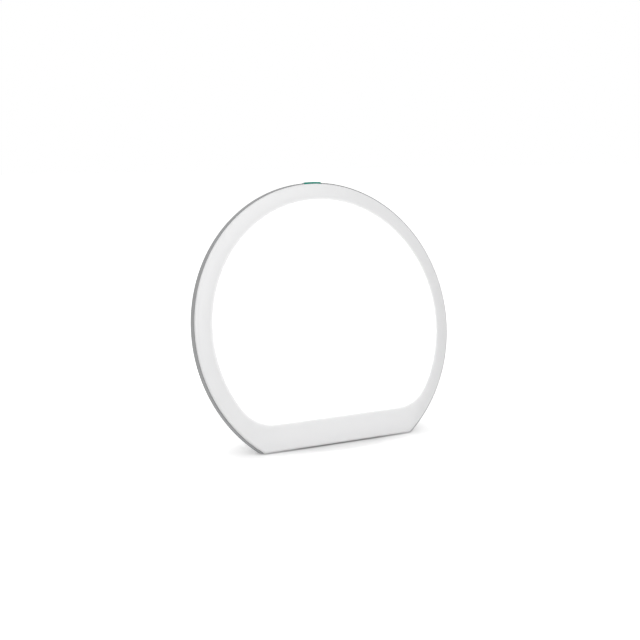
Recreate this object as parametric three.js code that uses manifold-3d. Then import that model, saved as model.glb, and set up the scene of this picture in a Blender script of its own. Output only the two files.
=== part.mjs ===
// A slim light therapy lamp: a lit D-shaped window in a domed bezel, leaning back on a rear kickstand.
// Millimetres, +Z up, the lit side faces -Y. The origin is the middle of the footprint, on the table.
import * as THREE from 'three';
import { mergeVertices } from 'three/addons/utils/BufferGeometryUtils.js';
import Module from 'manifold-3d';

const wasm = await Module();
wasm.setup();

// Stance of the lamp
const LEAN = THREE.MathUtils.degToRad(12);
const LEG_SPREAD = THREE.MathUtils.degToRad(10);
const LEG_OPEN = LEAN + LEG_SPREAD;

// Clearances
const FIT = 0.3;
const RUNNING = 0.18;
const OVERRUN = 30;
const SUNK = 0.2;

// Outline of the panel: a circle cut by a flat foot edge
const BODY_RADIUS = 114.2;
const FLARE = 1.3;
const RIM_RADIUS = BODY_RADIUS - FLARE;
const BASE_CUT = 22.4;
const BASE_DROP = BODY_RADIUS - BASE_CUT;
const BASE_CORNER = 3.4;
const SHARPEST_CORNER = 1;
const BEZEL_WIDTH = 13.4;
const BEZEL_BASE_WIDTH = 21.4;
const WINDOW_RADIUS = RIM_RADIUS - BEZEL_WIDTH;
const WINDOW_DROP = BASE_DROP - BEZEL_BASE_WIDTH;
const WINDOW_CORNER = 32.5;

// Domed bezel
const BEZEL_RISE = 4.3;
const BEZEL_WALL = 1.6;
const EDGE_INSET = 2.2;
const EDGE_RISE = 2;
const LIP_ROUND = 0.4;
const TONGUE_INSET = 1.9;
const TONGUE_THICK = 1.3;
const TONGUE_LENGTH = 2;

// Optical stack, front to rear
const STACK_LAP = 2;
const GASKET_THICK = 0.6;
const GASKET_WIDTH = 1.4;
const DIFFUSER_THICK = 2;
const FILM_THICK = 0.5;
const GUIDE_THICK = 3;
const REFLECTOR_THICK = 0.4;
const BACKING_THICK = 1;
const GASKET_FRONT = BEZEL_WALL - BEZEL_RISE + FIT;
const DIFFUSER_FRONT = GASKET_FRONT + GASKET_THICK + FIT;
const FILM_FRONT = DIFFUSER_FRONT + DIFFUSER_THICK + FIT;
const GUIDE_FRONT = FILM_FRONT + FILM_THICK + FIT;
const REFLECTOR_FRONT = GUIDE_FRONT + GUIDE_THICK + FIT;
const BACKING_FRONT = REFLECTOR_FRONT + REFLECTOR_THICK + FIT;
const BACKING_REAR = BACKING_FRONT + BACKING_THICK;

// Light strips and the frame round the stack
const STRIP_THICK = 0.35;
const LED_HEIGHT = 0.75;
const LED_LENGTH = 2.8;
const LED_COUNT = 20;
const STRIP_START = -18;
const STRIP_END = 87;
const FRAME_WALL = 1.1;
const STRIP_ROOM = FIT + LED_HEIGHT + STRIP_THICK + FIT;
const FRAME_OUTER = STACK_LAP + STRIP_ROOM + FRAME_WALL;
const FRAME_REAR = BACKING_FRONT - FIT;
const LEDGE_REAR = GUIDE_FRONT - FIT;

// Rear housing
const SEAM = FIT;
const SEAM_STEP = 0.9;
const BAND_DEPTH = 3.6;
const PANEL_REAR = 15.7;
const REAR_INSET = 11.8;
const REAR_BASE_INSET = 5.8;
const REAR_RADIUS = BODY_RADIUS - REAR_INSET;
const REAR_DROP = BASE_DROP - REAR_BASE_INSET;
const REAR_CORNER = 6;
const FLANK_POWER = 1.5;
const WALL = 2;
const SEAM_WALL = 1.6;
const BASE_WALL = 2.4;
const RIB_THICK = 1.2;
const RIB_HEIGHT = 2.4;
const RIB_LENGTH = 60;
const RIB_PITCH = 14;
const RIB_COUNT = 3;
const RIB_FIRST = 56;

// Feet under the base edge
const FOOT_PROUD = 1;
const FOOT_SUNK = 0.9;
const FOOT_LENGTH = 36;
const FOOT_DEPTH = 7.5;
const FOOT_SPACING = 84;
const FOOT_SETBACK = 7;
const PANEL_LIFT = BASE_DROP * Math.cos(LEAN) + FOOT_PROUD;
const BASE_FRONT = -BASE_DROP * Math.sin(LEAN);

// Screws
const SHANK_RADIUS = 0.9;
const HEAD_RADIUS = 1.7;
const HEAD_HEIGHT = 1.1;
const HEAD_TOP_SHARE = 0.75;
const HEAD_EDGE_SHARE = 0.5;
const CROSS_WIDTH = 0.5;
const CROSS_SPAN = 2;
const CROSS_DEPTH = 0.6;
const SCREW_SIDES = 6;
const COUNTERBORE = 1.95;
const BOSS_ROOT = 1.9;
const BOSS_RADIUS = 2.2;
const BOSS_INSET = 5.4;
const BOSS_REACH = BODY_RADIUS - BOSS_INSET;
const BOSS_REAR = 3;
const BORE_FRONT = -0.6;
const TOWER_RADIUS = 2.9;
const TOWER_FLOOR = 2;
const TOWER_FRONT = BOSS_REAR + FIT;
const TOWER_SEAT = TOWER_FRONT + TOWER_FLOOR;
const HOUSING_SCREW_LENGTH = 5.6;
const SIDE_SCREW_ANGLE = -8;
const UPPER_SCREW_ANGLE = 62;
const BASE_SCREW_SIDE = 52;
const BASE_SCREW_RISE = 9.6;
const BASE_SCREW_DROP = BASE_DROP - BASE_SCREW_RISE;
const LUG_INSET = 8.1;
const LUG_REACH = BODY_RADIUS - LUG_INSET;
const LUG_ROOT = BEZEL_RISE - BEZEL_WALL + SUNK;
const LUG_RADIUS = 2.6;
const LUG_THICK = 2.4;
const LUG_ANGLE = 25;
const LUG_CORNER_ANGLE = -60;
const POST_RADIUS = 1.6;
const EAR_RADIUS = 3.3;
const PLATE_SCREW_LENGTH = 6.2;

// Kickstand
const HINGE_RISE = 22;
const LEG_THICK = 5.4;
const LEG_REAR = PANEL_REAR - FIT;
const HINGE_DEPTH = LEG_REAR - LEG_THICK / 2;
const HEEL = 4;
const HEEL_SWEEP = Math.hypot(HEEL, LEG_THICK / 2);
const LEG_TOP_HALF = 24;
const LEG_FOOT_HALF = 19;
const LEG_STRAIGHT = 8;
const LEG_GAP = 0.5;
const LEG_SKIN = 2;
const LEG_RIB = 2;
const LEG_ROWS = 4;
const PIN_RADIUS = 1.5;
const PIN_HOLD = 4;
const EAR_THICK = 5;
const EAR_HALF = 5;
const HINGE_REACH = LEG_TOP_HALF + LEG_GAP + EAR_THICK + SUNK;
const WASHER_RADIUS = 2.3;
const WASHER_THICK = 0.5;
const WASHER_PLAY = 0.25;
const RECESS_WALL = 1.6;
const POCKET_WALL = 1.2;
const RECESS_FLOOR = LEG_REAR - LEG_THICK - FIT;
const SHOE_HEIGHT = 6;
const SHOE_TONGUE = 4;
const SHOE_TONGUE_THICK = 2.2;
const SHOE_TONGUE_HALF = 15;
const SHOE_BEVEL = 2;
const GRIP_COUNT = 3;
const GRIP_PITCH = 3;
const GRIP_DEPTH = 0.5;
const GRIP_WIDTH = 1.2;
const GRIP_HALF = 8;
const HINGE_HEIGHT = PANEL_LIFT + HINGE_RISE * Math.cos(LEAN) - HINGE_DEPTH * Math.sin(LEAN);
const LEG_LENGTH = HINGE_HEIGHT / Math.cos(LEG_SPREAD);
const LEG_PLATE_END = LEG_LENGTH - SHOE_HEIGHT - FIT;

// Power button and its switch
const BUTTON_LENGTH = 15;
const BUTTON_FRONT = 0.6;
const BUTTON_DEPTH = 5.4;
const BUTTON_PROUD = 0.3;
const BUTTON_TRAVEL = 0.6;
const BUTTON_SUNK = 1;
const BUTTON_ROOT = RIM_RADIUS - BUTTON_SUNK;
const BUTTON_CORNER = 1;
const FLANGE_EXTRA = 1.8;
const FLANGE_THICK = 1.3;
const FLANGE_FRONT = 2.6;
const FLANGE_DEPTH = 3.4;
const STEM_WIDTH = 3;
const STEM_DEPTH = 1.6;
const STEM_LENGTH = 0.9;
const PLUNGER_RADIUS = 0.9;
const PLUNGER_LENGTH = 1.7;
const SWITCH_WIDTH = 6;
const SWITCH_DEPTH = 3.2;
const SWITCH_HEIGHT = 2.2;
const SWITCH_FLOOR = 0.4;
const SWITCH_BOARD_LENGTH = 24;
const SWITCH_BOARD_DEPTH = 3.4;
const SWITCH_BOARD_THICK = 0.7;
const SWITCH_MIDDLE = FLANGE_FRONT + FLANGE_DEPTH / 2;
const CRADLE_WIDTH = 2.4;
const CRADLE_LAP = 1;

// Control board and what it carries
const BOARD_LEFT = 31;
const BOARD_SIDE_ROOM = 62.2;
const BOARD_WIDTH = BODY_RADIUS - BOARD_SIDE_ROOM;
const BOARD_RISE = 77.8;
const BOARD_TOP = BOARD_RISE - BASE_DROP;
const BOARD_HEIGHT = 42;
const BOARD_THICK = 1;
const BOARD_CORNER = 2;
const BOARD_HOLE_INSET = 4;
const BOARD_HOLE = 1.2;
const STANDOFF_RADIUS = 2.4;
const STANDOFF_HEIGHT = 1.3;
const STANDOFF_BORE = 1.05;
const BOARD_FRONT = BACKING_REAR + STANDOFF_HEIGHT + FIT;
const BOARD_REAR = BOARD_FRONT + BOARD_THICK;
const BOARD_SCREW_LENGTH = 3.2;
const CHIP_SIZE = 7;
const CHIP_HEIGHT = 1.4;
const INDUCTOR_SIZE = 11;
const INDUCTOR_HEIGHT = 3.4;
const INDUCTOR_CORNER = 2;
const CAPACITOR_RADIUS = 3.1;
const CAPACITOR_HEIGHT = 3.5;
const CONNECTOR_WIDTH = 7;
const CONNECTOR_DEPTH = 5;
const CONNECTOR_HEIGHT = 3;
const SMALL_PART = 2;
const SMALL_PART_HEIGHT = 0.8;
const SMALL_PART_PITCH = 4;
const SMALL_PART_COUNT = 5;
const SMALL_ROW_SHARE = 0.22;
const LED_PLUG_SHARES = [0.93, 0.4];
const SWITCH_PLUG_SHARES = [0.28, 0.1];
const POWER_PLUG_SHARES = [0.6, 0.93];
const CHIP_SHARES = [0.3, 0.45];
const INDUCTOR_SHARES = [0.58, 0.45];
const INPUT_SHARES = [0.42, 0.78];
const OUTPUT_SHARES = [0.78, 0.75];

// DC inlet
const JACK_SIDE_ROOM = 6;
const JACK_SIDE = LEG_TOP_HALF + JACK_SIDE_ROOM;
const JACK_RISE = 11.8;
const JACK_DROP = BASE_DROP - JACK_RISE;
const JACK_WIDTH = 10;
const JACK_HEIGHT = 9;
const JACK_LENGTH = 13.4;
const JACK_BORE = 3.5;
const JACK_BORE_DEPTH = 9;
const JACK_PIN = 1;
const JACK_PIN_RECESS = 2.3;
const JACK_TAG = 1.2;
const JACK_MOUTH = 3.9;
const JACK_REAR = PANEL_REAR - WALL - FIT;
const JACK_RAIL = 1.4;

// Leads
const LEAD_RADIUS = 0.9;
const LEAD_SIDES = 6;
const LEAD_STEPS = 10;
const LEAD_DEPTH = BOARD_REAR + CONNECTOR_HEIGHT / 2;
const JUMPER_RADIUS = 0.5;
const LEAD_SLACK = 1.8;
const NOTCH_WIDTH = 7.2;
const NOTCH_BELOW = 2.7;
const NOTCH_ABOVE = 1.8;

// Facets
const ARC_STEPS = 48;
const CORNER_STEPS = 4;
const BASE_STEPS = 4;
const ROUND_SIDES = 14;
const PIN_SIDES = 10;
const FLANK_STEPS = 6;
const EDGE_STEPS = 2;
const FACE_STEPS = 3;
const WELD = 1e-4;

const RIGHT_ANGLE = Math.PI / 2;
const FULL_TURN = 2 * Math.PI;

// Materials
function plastic(color, roughness) {
  return new THREE.MeshStandardMaterial({ color, roughness, metalness: 0 });
}

function metal(color, roughness) {
  return new THREE.MeshStandardMaterial({ color, roughness, metalness: 1 });
}

const whitePlastic = plastic('#eceded', 0.4);
const silverPlastic = plastic('#a9acae', 0.45);
const tealPlastic = plastic('#1f7f6c', 0.5);
const opalAcrylic = new THREE.MeshStandardMaterial({
  color: '#ffffff',
  roughness: 0.6,
  emissive: '#ffffff',
  emissiveIntensity: 1,
});
const clearAcrylic = plastic('#f4f8fa', 0.1);
const whiteFilm = plastic('#f7f7f7', 0.7);
const blackFoam = plastic('#26282a', 0.95);
const stripWhite = plastic('#f2f2ea', 0.6);
const aluminium = metal('#c4c6c8', 0.4);
const steel = metal('#b4b6b8', 0.3);
const greenBoard = plastic('#1c6b3a', 0.5);
const blackPart = plastic('#1b1c1e', 0.5);
const rubber = plastic('#55585a', 0.9);
const creamNylon = plastic('#e6e0cf', 0.6);
const leadBlack = plastic('#202124', 0.6);

// Solids and meshes
function solidOf(geometry) {
  const bare = geometry.clone();
  bare.deleteAttribute('normal');
  bare.deleteAttribute('uv');
  const merged = mergeVertices(bare, WELD);
  return new wasm.Manifold(new wasm.Mesh({
    numProp: 3,
    vertProperties: new Float32Array(merged.attributes.position.array),
    triVerts: new Uint32Array(merged.index.array),
  }));
}

function geometryOf(solid) {
  const mesh = solid.getMesh();
  const geometry = new THREE.BufferGeometry();
  geometry.setAttribute('position', new THREE.BufferAttribute(new Float32Array(mesh.vertProperties), 3));
  geometry.setIndex(new THREE.BufferAttribute(new Uint32Array(mesh.triVerts), 1));
  return geometry;
}

function join(first, ...others) {
  const solid = others.reduce((sum, geometry) => sum.add(solidOf(geometry)), solidOf(first));
  return geometryOf(solid);
}

function cut(first, ...tools) {
  const solid = tools.reduce((rest, geometry) => rest.subtract(solidOf(geometry)), solidOf(first));
  return geometryOf(solid);
}

function common(first, second) {
  return geometryOf(solidOf(first).intersect(solidOf(second)));
}

function piece(name, geometry, material) {
  const faceted = geometry.index ? geometry.toNonIndexed() : geometry;
  faceted.computeVertexNormals();
  const mesh = new THREE.Mesh(faceted, material);
  mesh.name = name;
  return mesh;
}

// A box given by its middle across, and its low and high ends in depth and height
function block(middle, width, front, rear, low, high) {
  const geometry = new THREE.BoxGeometry(width, rear - front, high - low);
  return geometry.translate(middle, (front + rear) / 2, (low + high) / 2);
}

// A flat plate whose outline is drawn as seen from the rear of the depth axis
function plate(outline, front, rear, holes = []) {
  const shape = new THREE.Shape(outline);
  shape.holes = holes.map((hole) => new THREE.Path(hole));
  const geometry = new THREE.ExtrudeGeometry(shape, { depth: rear - front, bevelEnabled: false });
  return geometry.rotateX(RIGHT_ANGLE).translate(0, rear, 0);
}

// A section drawn in depth and height, run across the lamp
function crosswise(points, width) {
  const shape = new THREE.Shape(points);
  const geometry = new THREE.ExtrudeGeometry(shape, { depth: width, bevelEnabled: false });
  const across = new THREE.Matrix4().makeBasis(
    new THREE.Vector3(0, 1, 0),
    new THREE.Vector3(0, 0, 1),
    new THREE.Vector3(1, 0, 0),
  );
  return geometry.applyMatrix4(across).translate(-width / 2, 0, 0);
}

function post(spot, radius, front, rear, sides = ROUND_SIDES) {
  const geometry = new THREE.CylinderGeometry(radius, radius, rear - front, sides);
  return geometry.translate(spot.x, (front + rear) / 2, spot.y);
}

function crossRod(radius, left, right, sides = PIN_SIDES) {
  const geometry = new THREE.CylinderGeometry(radius, radius, right - left, sides);
  return geometry.rotateZ(RIGHT_ANGLE).translate((left + right) / 2, 0, 0);
}

function uprightRod(radius, spotX, spotY, low, high, sides = PIN_SIDES) {
  const geometry = new THREE.CylinderGeometry(radius, radius, high - low, sides);
  return geometry.rotateX(RIGHT_ANGLE).translate(spotX, spotY, (low + high) / 2);
}

function roundedRectangle(left, low, width, height, corner) {
  const right = left + width - corner;
  const high = low + height - corner;
  const base = low + corner;
  const centres = [[right, base], [right, high], [left + corner, high], [left + corner, base]];
  return centres.flatMap(([x, y], quarter) => {
    const start = (quarter - 1) * RIGHT_ANGLE;
    return arc(new THREE.Vector2(x, y), corner, start, start + RIGHT_ANGLE, CORNER_STEPS);
  });
}

function circle(spot, radius) {
  return arc(spot, radius, 0, FULL_TURN, PIN_SIDES).slice(1);
}

// Points along an arc, both ends included
function arc(centre, radius, start, end, steps) {
  return Array.from({ length: steps + 1 }, (_, step) => {
    const angle = THREE.MathUtils.lerp(start, end, step / steps);
    return new THREE.Vector2(centre.x + radius * Math.cos(angle), centre.y + radius * Math.sin(angle));
  });
}

// The D outline: a circle cut by a flat edge below its centre, with rounded corners
function dOutline(radius, drop, corner) {
  const rise = drop - corner;
  const reach = radius - corner;
  const side = Math.sqrt(reach * reach - rise * rise);
  const turn = Math.atan2(-rise, side);
  const rightCorner = new THREE.Vector2(side, -rise);
  const leftCorner = new THREE.Vector2(-side, -rise);
  const points = arc(rightCorner, corner, -RIGHT_ANGLE, turn, CORNER_STEPS);
  points.push(...arc(new THREE.Vector2(), radius, turn, Math.PI - turn, ARC_STEPS).slice(1));
  points.push(...arc(leftCorner, corner, Math.PI - turn, Math.PI + RIGHT_ANGLE, CORNER_STEPS).slice(1));
  for (let step = 1; step < BASE_STEPS; step += 1) {
    points.push(new THREE.Vector2(THREE.MathUtils.lerp(-side, side, step / BASE_STEPS), -drop));
  }
  return points;
}

function rimOutline(inset) {
  return dOutline(RIM_RADIUS - inset, BASE_DROP - inset, Math.max(BASE_CORNER - inset, SHARPEST_CORNER));
}

function windowOutline(outset) {
  return dOutline(WINDOW_RADIUS + outset, WINDOW_DROP + outset, WINDOW_CORNER + outset);
}

function between(first, second, share) {
  return first.map((point, index) => point.clone().lerp(second[index], share));
}

// Rings of equal count, each an outline at a depth, skinned into one surface
function ringLoft(rings, closed) {
  const count = rings[0].outline.length;
  const vertices = rings.flatMap((ring) => ring.outline.flatMap((point) => [point.x, ring.depth, point.y]));
  const faces = [];
  const last = closed ? rings.length : rings.length - 1;
  for (let ring = 0; ring < last; ring += 1) {
    const next = (ring + 1) % rings.length;
    for (let step = 0; step < count; step += 1) {
      const after = (step + 1) % count;
      const corners = [ring * count + step, ring * count + after, next * count + after, next * count + step];
      faces.push(corners[0], corners[1], corners[2], corners[0], corners[2], corners[3]);
    }
  }
  if (!closed) {
    const top = (rings.length - 1) * count;
    for (const [a, b, c] of THREE.ShapeUtils.triangulateShape(rings[0].outline, [])) {
      faces.push(c, b, a);
    }
    for (const [a, b, c] of THREE.ShapeUtils.triangulateShape(rings[rings.length - 1].outline, [])) {
      faces.push(top + a, top + b, top + c);
    }
  }
  const geometry = new THREE.BufferGeometry();
  geometry.setAttribute('position', new THREE.Float32BufferAttribute(vertices, 3));
  geometry.setIndex(faces);
  return facingOut(geometry);
}

function facingOut(geometry) {
  const place = geometry.attributes.position;
  const index = geometry.index.array;
  const [a, b, c] = [new THREE.Vector3(), new THREE.Vector3(), new THREE.Vector3()];
  let volume = 0;
  for (let face = 0; face < index.length; face += 3) {
    a.fromBufferAttribute(place, index[face]);
    b.fromBufferAttribute(place, index[face + 1]);
    c.fromBufferAttribute(place, index[face + 2]);
    volume += a.dot(b.cross(c));
  }
  if (volume < 0) {
    geometry.setIndex(Array.from(index).reverse());
  }
  return geometry;
}

// Turns a shape placed over the table into the leaning panel's own axes
function fromTable(geometry) {
  return geometry.translate(0, 0, -PANEL_LIFT).rotateX(LEAN);
}

function arcSpot(degrees, radius) {
  const angle = THREE.MathUtils.degToRad(degrees);
  return new THREE.Vector2(radius * Math.cos(angle), radius * Math.sin(angle));
}

function mirrored(spot) {
  return new THREE.Vector2(-spot.x, spot.y);
}

// Screw places, shared by the screws, bosses, lugs and holes
function bothSides(spots) {
  return spots.flatMap((spot) => [spot, mirrored(spot)]);
}

const housingSpots = bothSides([
  arcSpot(UPPER_SCREW_ANGLE, BOSS_REACH),
  arcSpot(SIDE_SCREW_ANGLE, BOSS_REACH),
  new THREE.Vector2(BASE_SCREW_SIDE, -BASE_SCREW_DROP),
]);

function frameCornerSpot() {
  const rise = WINDOW_DROP - WINDOW_CORNER;
  const reach = WINDOW_RADIUS - WINDOW_CORNER;
  const centre = new THREE.Vector2(Math.sqrt(reach * reach - rise * rise), -rise);
  return centre.add(arcSpot(LUG_CORNER_ANGLE, LUG_REACH - reach));
}

const lugSpots = bothSides([arcSpot(LUG_ANGLE, LUG_REACH), frameCornerSpot()]);

const boardSpots = [
  new THREE.Vector2(BOARD_LEFT + BOARD_HOLE_INSET, BOARD_TOP - BOARD_HOLE_INSET),
  new THREE.Vector2(BOARD_LEFT + BOARD_WIDTH - BOARD_HOLE_INSET, BOARD_TOP - BOARD_HOLE_INSET),
  new THREE.Vector2(BOARD_LEFT + BOARD_HOLE_INSET, BOARD_TOP - BOARD_HEIGHT + BOARD_HOLE_INSET),
];

// Front bezel
function bezelRings() {
  const rings = [];
  for (let step = 0; step <= EDGE_STEPS; step += 1) {
    const angle = RIGHT_ANGLE * step / EDGE_STEPS;
    const inset = EDGE_INSET * (1 - Math.cos(angle));
    rings.push({ outline: rimOutline(inset), depth: -EDGE_RISE * Math.sin(angle) });
  }
  const edge = rimOutline(EDGE_INSET);
  const crest = windowOutline(LIP_ROUND);
  for (let step = 1; step <= FACE_STEPS; step += 1) {
    const share = step / FACE_STEPS;
    const depth = THREE.MathUtils.lerp(-EDGE_RISE, -BEZEL_RISE, Math.sin(share * RIGHT_ANGLE));
    rings.push({ outline: between(edge, crest, share), depth });
  }
  rings.push({ outline: windowOutline(0), depth: LIP_ROUND - BEZEL_RISE });
  rings.push({ outline: windowOutline(0), depth: BEZEL_WALL - BEZEL_RISE });
  const inner = rimOutline(TONGUE_INSET + TONGUE_THICK);
  rings.push({ outline: between(inner, windowOutline(0), 1 / 2), depth: BEZEL_WALL - BEZEL_RISE + SUNK });
  rings.push({ outline: inner, depth: BEZEL_WALL - EDGE_RISE });
  rings.push({ outline: inner, depth: TONGUE_LENGTH });
  rings.push({ outline: rimOutline(TONGUE_INSET), depth: TONGUE_LENGTH });
  rings.push({ outline: rimOutline(TONGUE_INSET), depth: 0 });
  return rings;
}

function frontBezel() {
  const housingBosses = housingSpots.map((spot) => post(spot, BOSS_RADIUS, -BOSS_ROOT, BOSS_REAR));
  const postRear = FRAME_REAR - LUG_THICK - FIT;
  const lugPosts = lugSpots.map((spot) => post(spot, POST_RADIUS, -LUG_ROOT, postRear));
  const bores = [...housingSpots, ...lugSpots];
  const borePosts = bores.map((spot) => post(spot, SHANK_RADIUS + RUNNING, BORE_FRONT, OVERRUN, PIN_SIDES));
  const behindSeam = block(0, BODY_RADIUS * 2, 0, OVERRUN, -BODY_RADIUS, -WINDOW_DROP);
  const baseRoom = common(tableCutter(FOOT_PROUD + BASE_WALL + FIT), behindSeam);
  const body = join(ringLoft(bezelRings(), true), ...housingBosses, ...lugPosts);
  return piece('front_bezel', cut(body, baseRoom, ...borePosts), whitePlastic);
}

// Optical stack
function edgeGasket() {
  const outline = windowOutline(STACK_LAP);
  const hole = windowOutline(STACK_LAP - GASKET_WIDTH);
  return piece('edge_gasket', plate(outline, GASKET_FRONT, GASKET_FRONT + GASKET_THICK, [hole]), blackFoam);
}

function sheet(name, front, thick, material) {
  return piece(name, plate(windowOutline(STACK_LAP), front, front + thick), material);
}

function lightFrame() {
  const ledge = windowOutline(STACK_LAP + FIT);
  const pocket = windowOutline(STACK_LAP + STRIP_ROOM);
  const outside = windowOutline(FRAME_OUTER);
  const rings = [
    { outline: outside, depth: DIFFUSER_FRONT },
    { outline: ledge, depth: DIFFUSER_FRONT },
    { outline: ledge, depth: LEDGE_REAR },
    { outline: pocket, depth: LEDGE_REAR },
    { outline: pocket, depth: FRAME_REAR },
    { outline: outside, depth: FRAME_REAR },
  ];
  const lugs = lugSpots.map((spot) => post(spot, LUG_RADIUS, FRAME_REAR - LUG_THICK, FRAME_REAR));
  const room = plate(pocket, LEDGE_REAR, OVERRUN);
  const holes = lugSpots.map((spot) => post(spot, SHANK_RADIUS + RUNNING, 0, OVERRUN, PIN_SIDES));
  const notchMiddle = arcSpot(STRIP_START, WINDOW_RADIUS + FRAME_OUTER);
  const notch = block(notchMiddle.x, NOTCH_WIDTH, LEDGE_REAR, OVERRUN,
    notchMiddle.y - NOTCH_BELOW, notchMiddle.y + NOTCH_ABOVE);
  const body = cut(join(ringLoft(rings, true), ...lugs), room, ...holes, notch);
  return piece('light_frame', body, whitePlastic);
}

// A flexible strip bent along the arc, its lamps facing the edge of the guide
function stripOutline() {
  const backRadius = WINDOW_RADIUS + STACK_LAP + STRIP_ROOM - FIT;
  const faceRadius = backRadius - STRIP_THICK;
  const start = THREE.MathUtils.degToRad(STRIP_START);
  const end = THREE.MathUtils.degToRad(STRIP_END);
  const centre = new THREE.Vector2();
  const points = arc(centre, backRadius, start, end, LED_COUNT);
  const half = LED_LENGTH / 2 / faceRadius;
  for (let lamp = LED_COUNT - 1; lamp >= 0; lamp -= 1) {
    const middle = THREE.MathUtils.lerp(start, end, (lamp + 1 / 2) / LED_COUNT);
    const right = middle - half;
    const left = middle + half;
    points.push(...arc(centre, faceRadius, left, left, 1).slice(1));
    points.push(...arc(centre, faceRadius - LED_HEIGHT, left, right, 1));
    points.push(...arc(centre, faceRadius, right, right, 1).slice(1));
  }
  points.splice(LED_COUNT + 1, 0, ...arc(centre, faceRadius, end, end, 1).slice(1));
  points.push(...arc(centre, faceRadius, start, start, 1).slice(1));
  return points;
}

function ledStrip(name, flip) {
  const points = stripOutline();
  const outline = flip ? points.map(mirrored).reverse() : points;
  return piece(name, plate(outline, GUIDE_FRONT, GUIDE_FRONT + GUIDE_THICK), stripWhite);
}

// A short wire that carries the supply across the top, between the two strips
function stripJumper() {
  const reach = WINDOW_RADIUS + STACK_LAP + STRIP_ROOM - FIT - JUMPER_RADIUS;
  const slack = THREE.MathUtils.degToRad(STRIP_END);
  const gap = FIT / reach;
  const span = arc(new THREE.Vector2(), reach, slack + gap, Math.PI - slack - gap, BASE_STEPS);
  const depth = GUIDE_FRONT + GUIDE_THICK / 2;
  return lead('strip_jumper', span.map((spot) => at(spot, depth)), JUMPER_RADIUS);
}

function backingPlate() {
  const ears = lugSpots.map((spot) => post(spot, EAR_RADIUS, BACKING_FRONT, BACKING_REAR));
  const standoffs = boardSpots.map((spot) => (
    post(spot, STANDOFF_RADIUS, BACKING_REAR - SUNK, BACKING_REAR + STANDOFF_HEIGHT)));
  const earHoles = lugSpots.map((spot) => post(spot, SHANK_RADIUS + RUNNING, 0, OVERRUN, PIN_SIDES));
  const boardHoles = boardSpots.map((spot) => post(spot, STANDOFF_BORE, 0, OVERRUN, PIN_SIDES));
  const flat = plate(windowOutline(STACK_LAP + STRIP_ROOM), BACKING_FRONT, BACKING_REAR);
  const body = join(flat, ...ears, ...standoffs);
  return piece('backing_plate', cut(body, ...earHoles, ...boardHoles), aluminium);
}

// Rear housing: the profile of the flank, shrunk by a wall for the cavity
function flankRings(wall, firstRadius) {
  const rings = [{ radius: firstRadius, drop: BASE_DROP - RIM_RADIUS + firstRadius, depth: SEAM }];
  for (let step = 0; step <= FLANK_STEPS; step += 1) {
    const angle = RIGHT_ANGLE * step / FLANK_STEPS;
    const inward = Math.abs(Math.cos(angle)) ** FLANK_POWER;
    const rearward = Math.sin(angle) ** FLANK_POWER;
    rings.push({
      radius: THREE.MathUtils.lerp(REAR_RADIUS, BODY_RADIUS, inward) - wall,
      drop: THREE.MathUtils.lerp(REAR_DROP, BASE_DROP + FLARE, inward) - wall,
      depth: THREE.MathUtils.lerp(BAND_DEPTH, PANEL_REAR - wall, rearward),
    });
  }
  const corner = REAR_CORNER - wall;
  return rings.map(({ radius, drop, depth }) => ({ outline: dOutline(radius, drop, corner), depth }));
}

function tableCutter(height) {
  const reach = 2 * (BODY_RADIUS + OVERRUN);
  const slab = new THREE.BoxGeometry(reach, reach, OVERRUN);
  return fromTable(slab.translate(0, 0, height - OVERRUN / 2));
}

function recessOutline(margin) {
  const shift = (LEG_TOP_HALF - LEG_FOOT_HALF) / (LEG_LENGTH - LEG_STRAIGHT) * OVERRUN;
  const top = HINGE_RISE + HEEL_SWEEP + LEG_GAP + margin;
  const half = LEG_TOP_HALF + LEG_GAP + margin;
  const low = LEG_FOOT_HALF + LEG_GAP + margin - shift;
  const right = [
    new THREE.Vector2(low, HINGE_RISE - LEG_LENGTH - OVERRUN),
    new THREE.Vector2(half, HINGE_RISE - LEG_STRAIGHT),
    new THREE.Vector2(half, top),
  ];
  return [...right, ...right.map(mirrored).reverse()];
}

function atHinge(geometry) {
  return geometry.translate(0, HINGE_DEPTH, HINGE_RISE);
}

function heelPocket() {
  const front = -LEG_THICK / 2 - FIT;
  const room = block(0, 2 * (LEG_TOP_HALF + LEG_GAP), front, LEG_THICK, 0, HEEL_SWEEP + FIT);
  return atHinge(room.rotateX(LEG_OPEN));
}

// The wall behind the pocket that the heel turns into, where the leg comes to its stop
function heelStop() {
  const reach = (HEEL_SWEEP + FIT) * Math.sin(LEG_OPEN) + (LEG_THICK / 2 + FIT) * Math.cos(LEG_OPEN);
  return atHinge(block(0, 2 * (LEG_TOP_HALF + LEG_GAP), -reach - POCKET_WALL, 0, 0, HEEL_SWEEP + FIT));
}

function hingeEar(side) {
  const inner = LEG_TOP_HALF + LEG_GAP;
  const front = HINGE_DEPTH - EAR_HALF;
  return block(side * (inner + EAR_THICK / 2), EAR_THICK, front, PANEL_REAR - SUNK,
    HINGE_RISE - EAR_HALF, HINGE_RISE + EAR_HALF);
}

function stiffeningRibs() {
  const front = PANEL_REAR - WALL - RIB_HEIGHT;
  const rear = PANEL_REAR - SUNK;
  const middles = Array.from({ length: RIB_COUNT }, (_, step) => RIB_FIRST + RIB_PITCH * step);
  return [...middles, ...middles.map((middle) => -middle)].map((middle) => (
    block(middle, RIB_THICK, front, rear, SEAM_WALL, RIB_LENGTH)));
}

function switchCradle(side) {
  const middle = SWITCH_BOARD_LENGTH / 2 - CRADLE_LAP + CRADLE_WIDTH / 2;
  const rear = SWITCH_MIDDLE + SWITCH_BOARD_DEPTH / 2 + FIT;
  const front = SWITCH_MIDDLE - SWITCH_BOARD_DEPTH / 2;
  return block(side * middle, CRADLE_WIDTH, front, rear, switchBoardLow() - FIT / 2, BODY_RADIUS - WALL);
}

function switchBoardLow() {
  return WINDOW_RADIUS + FRAME_OUTER + FIT;
}

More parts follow.
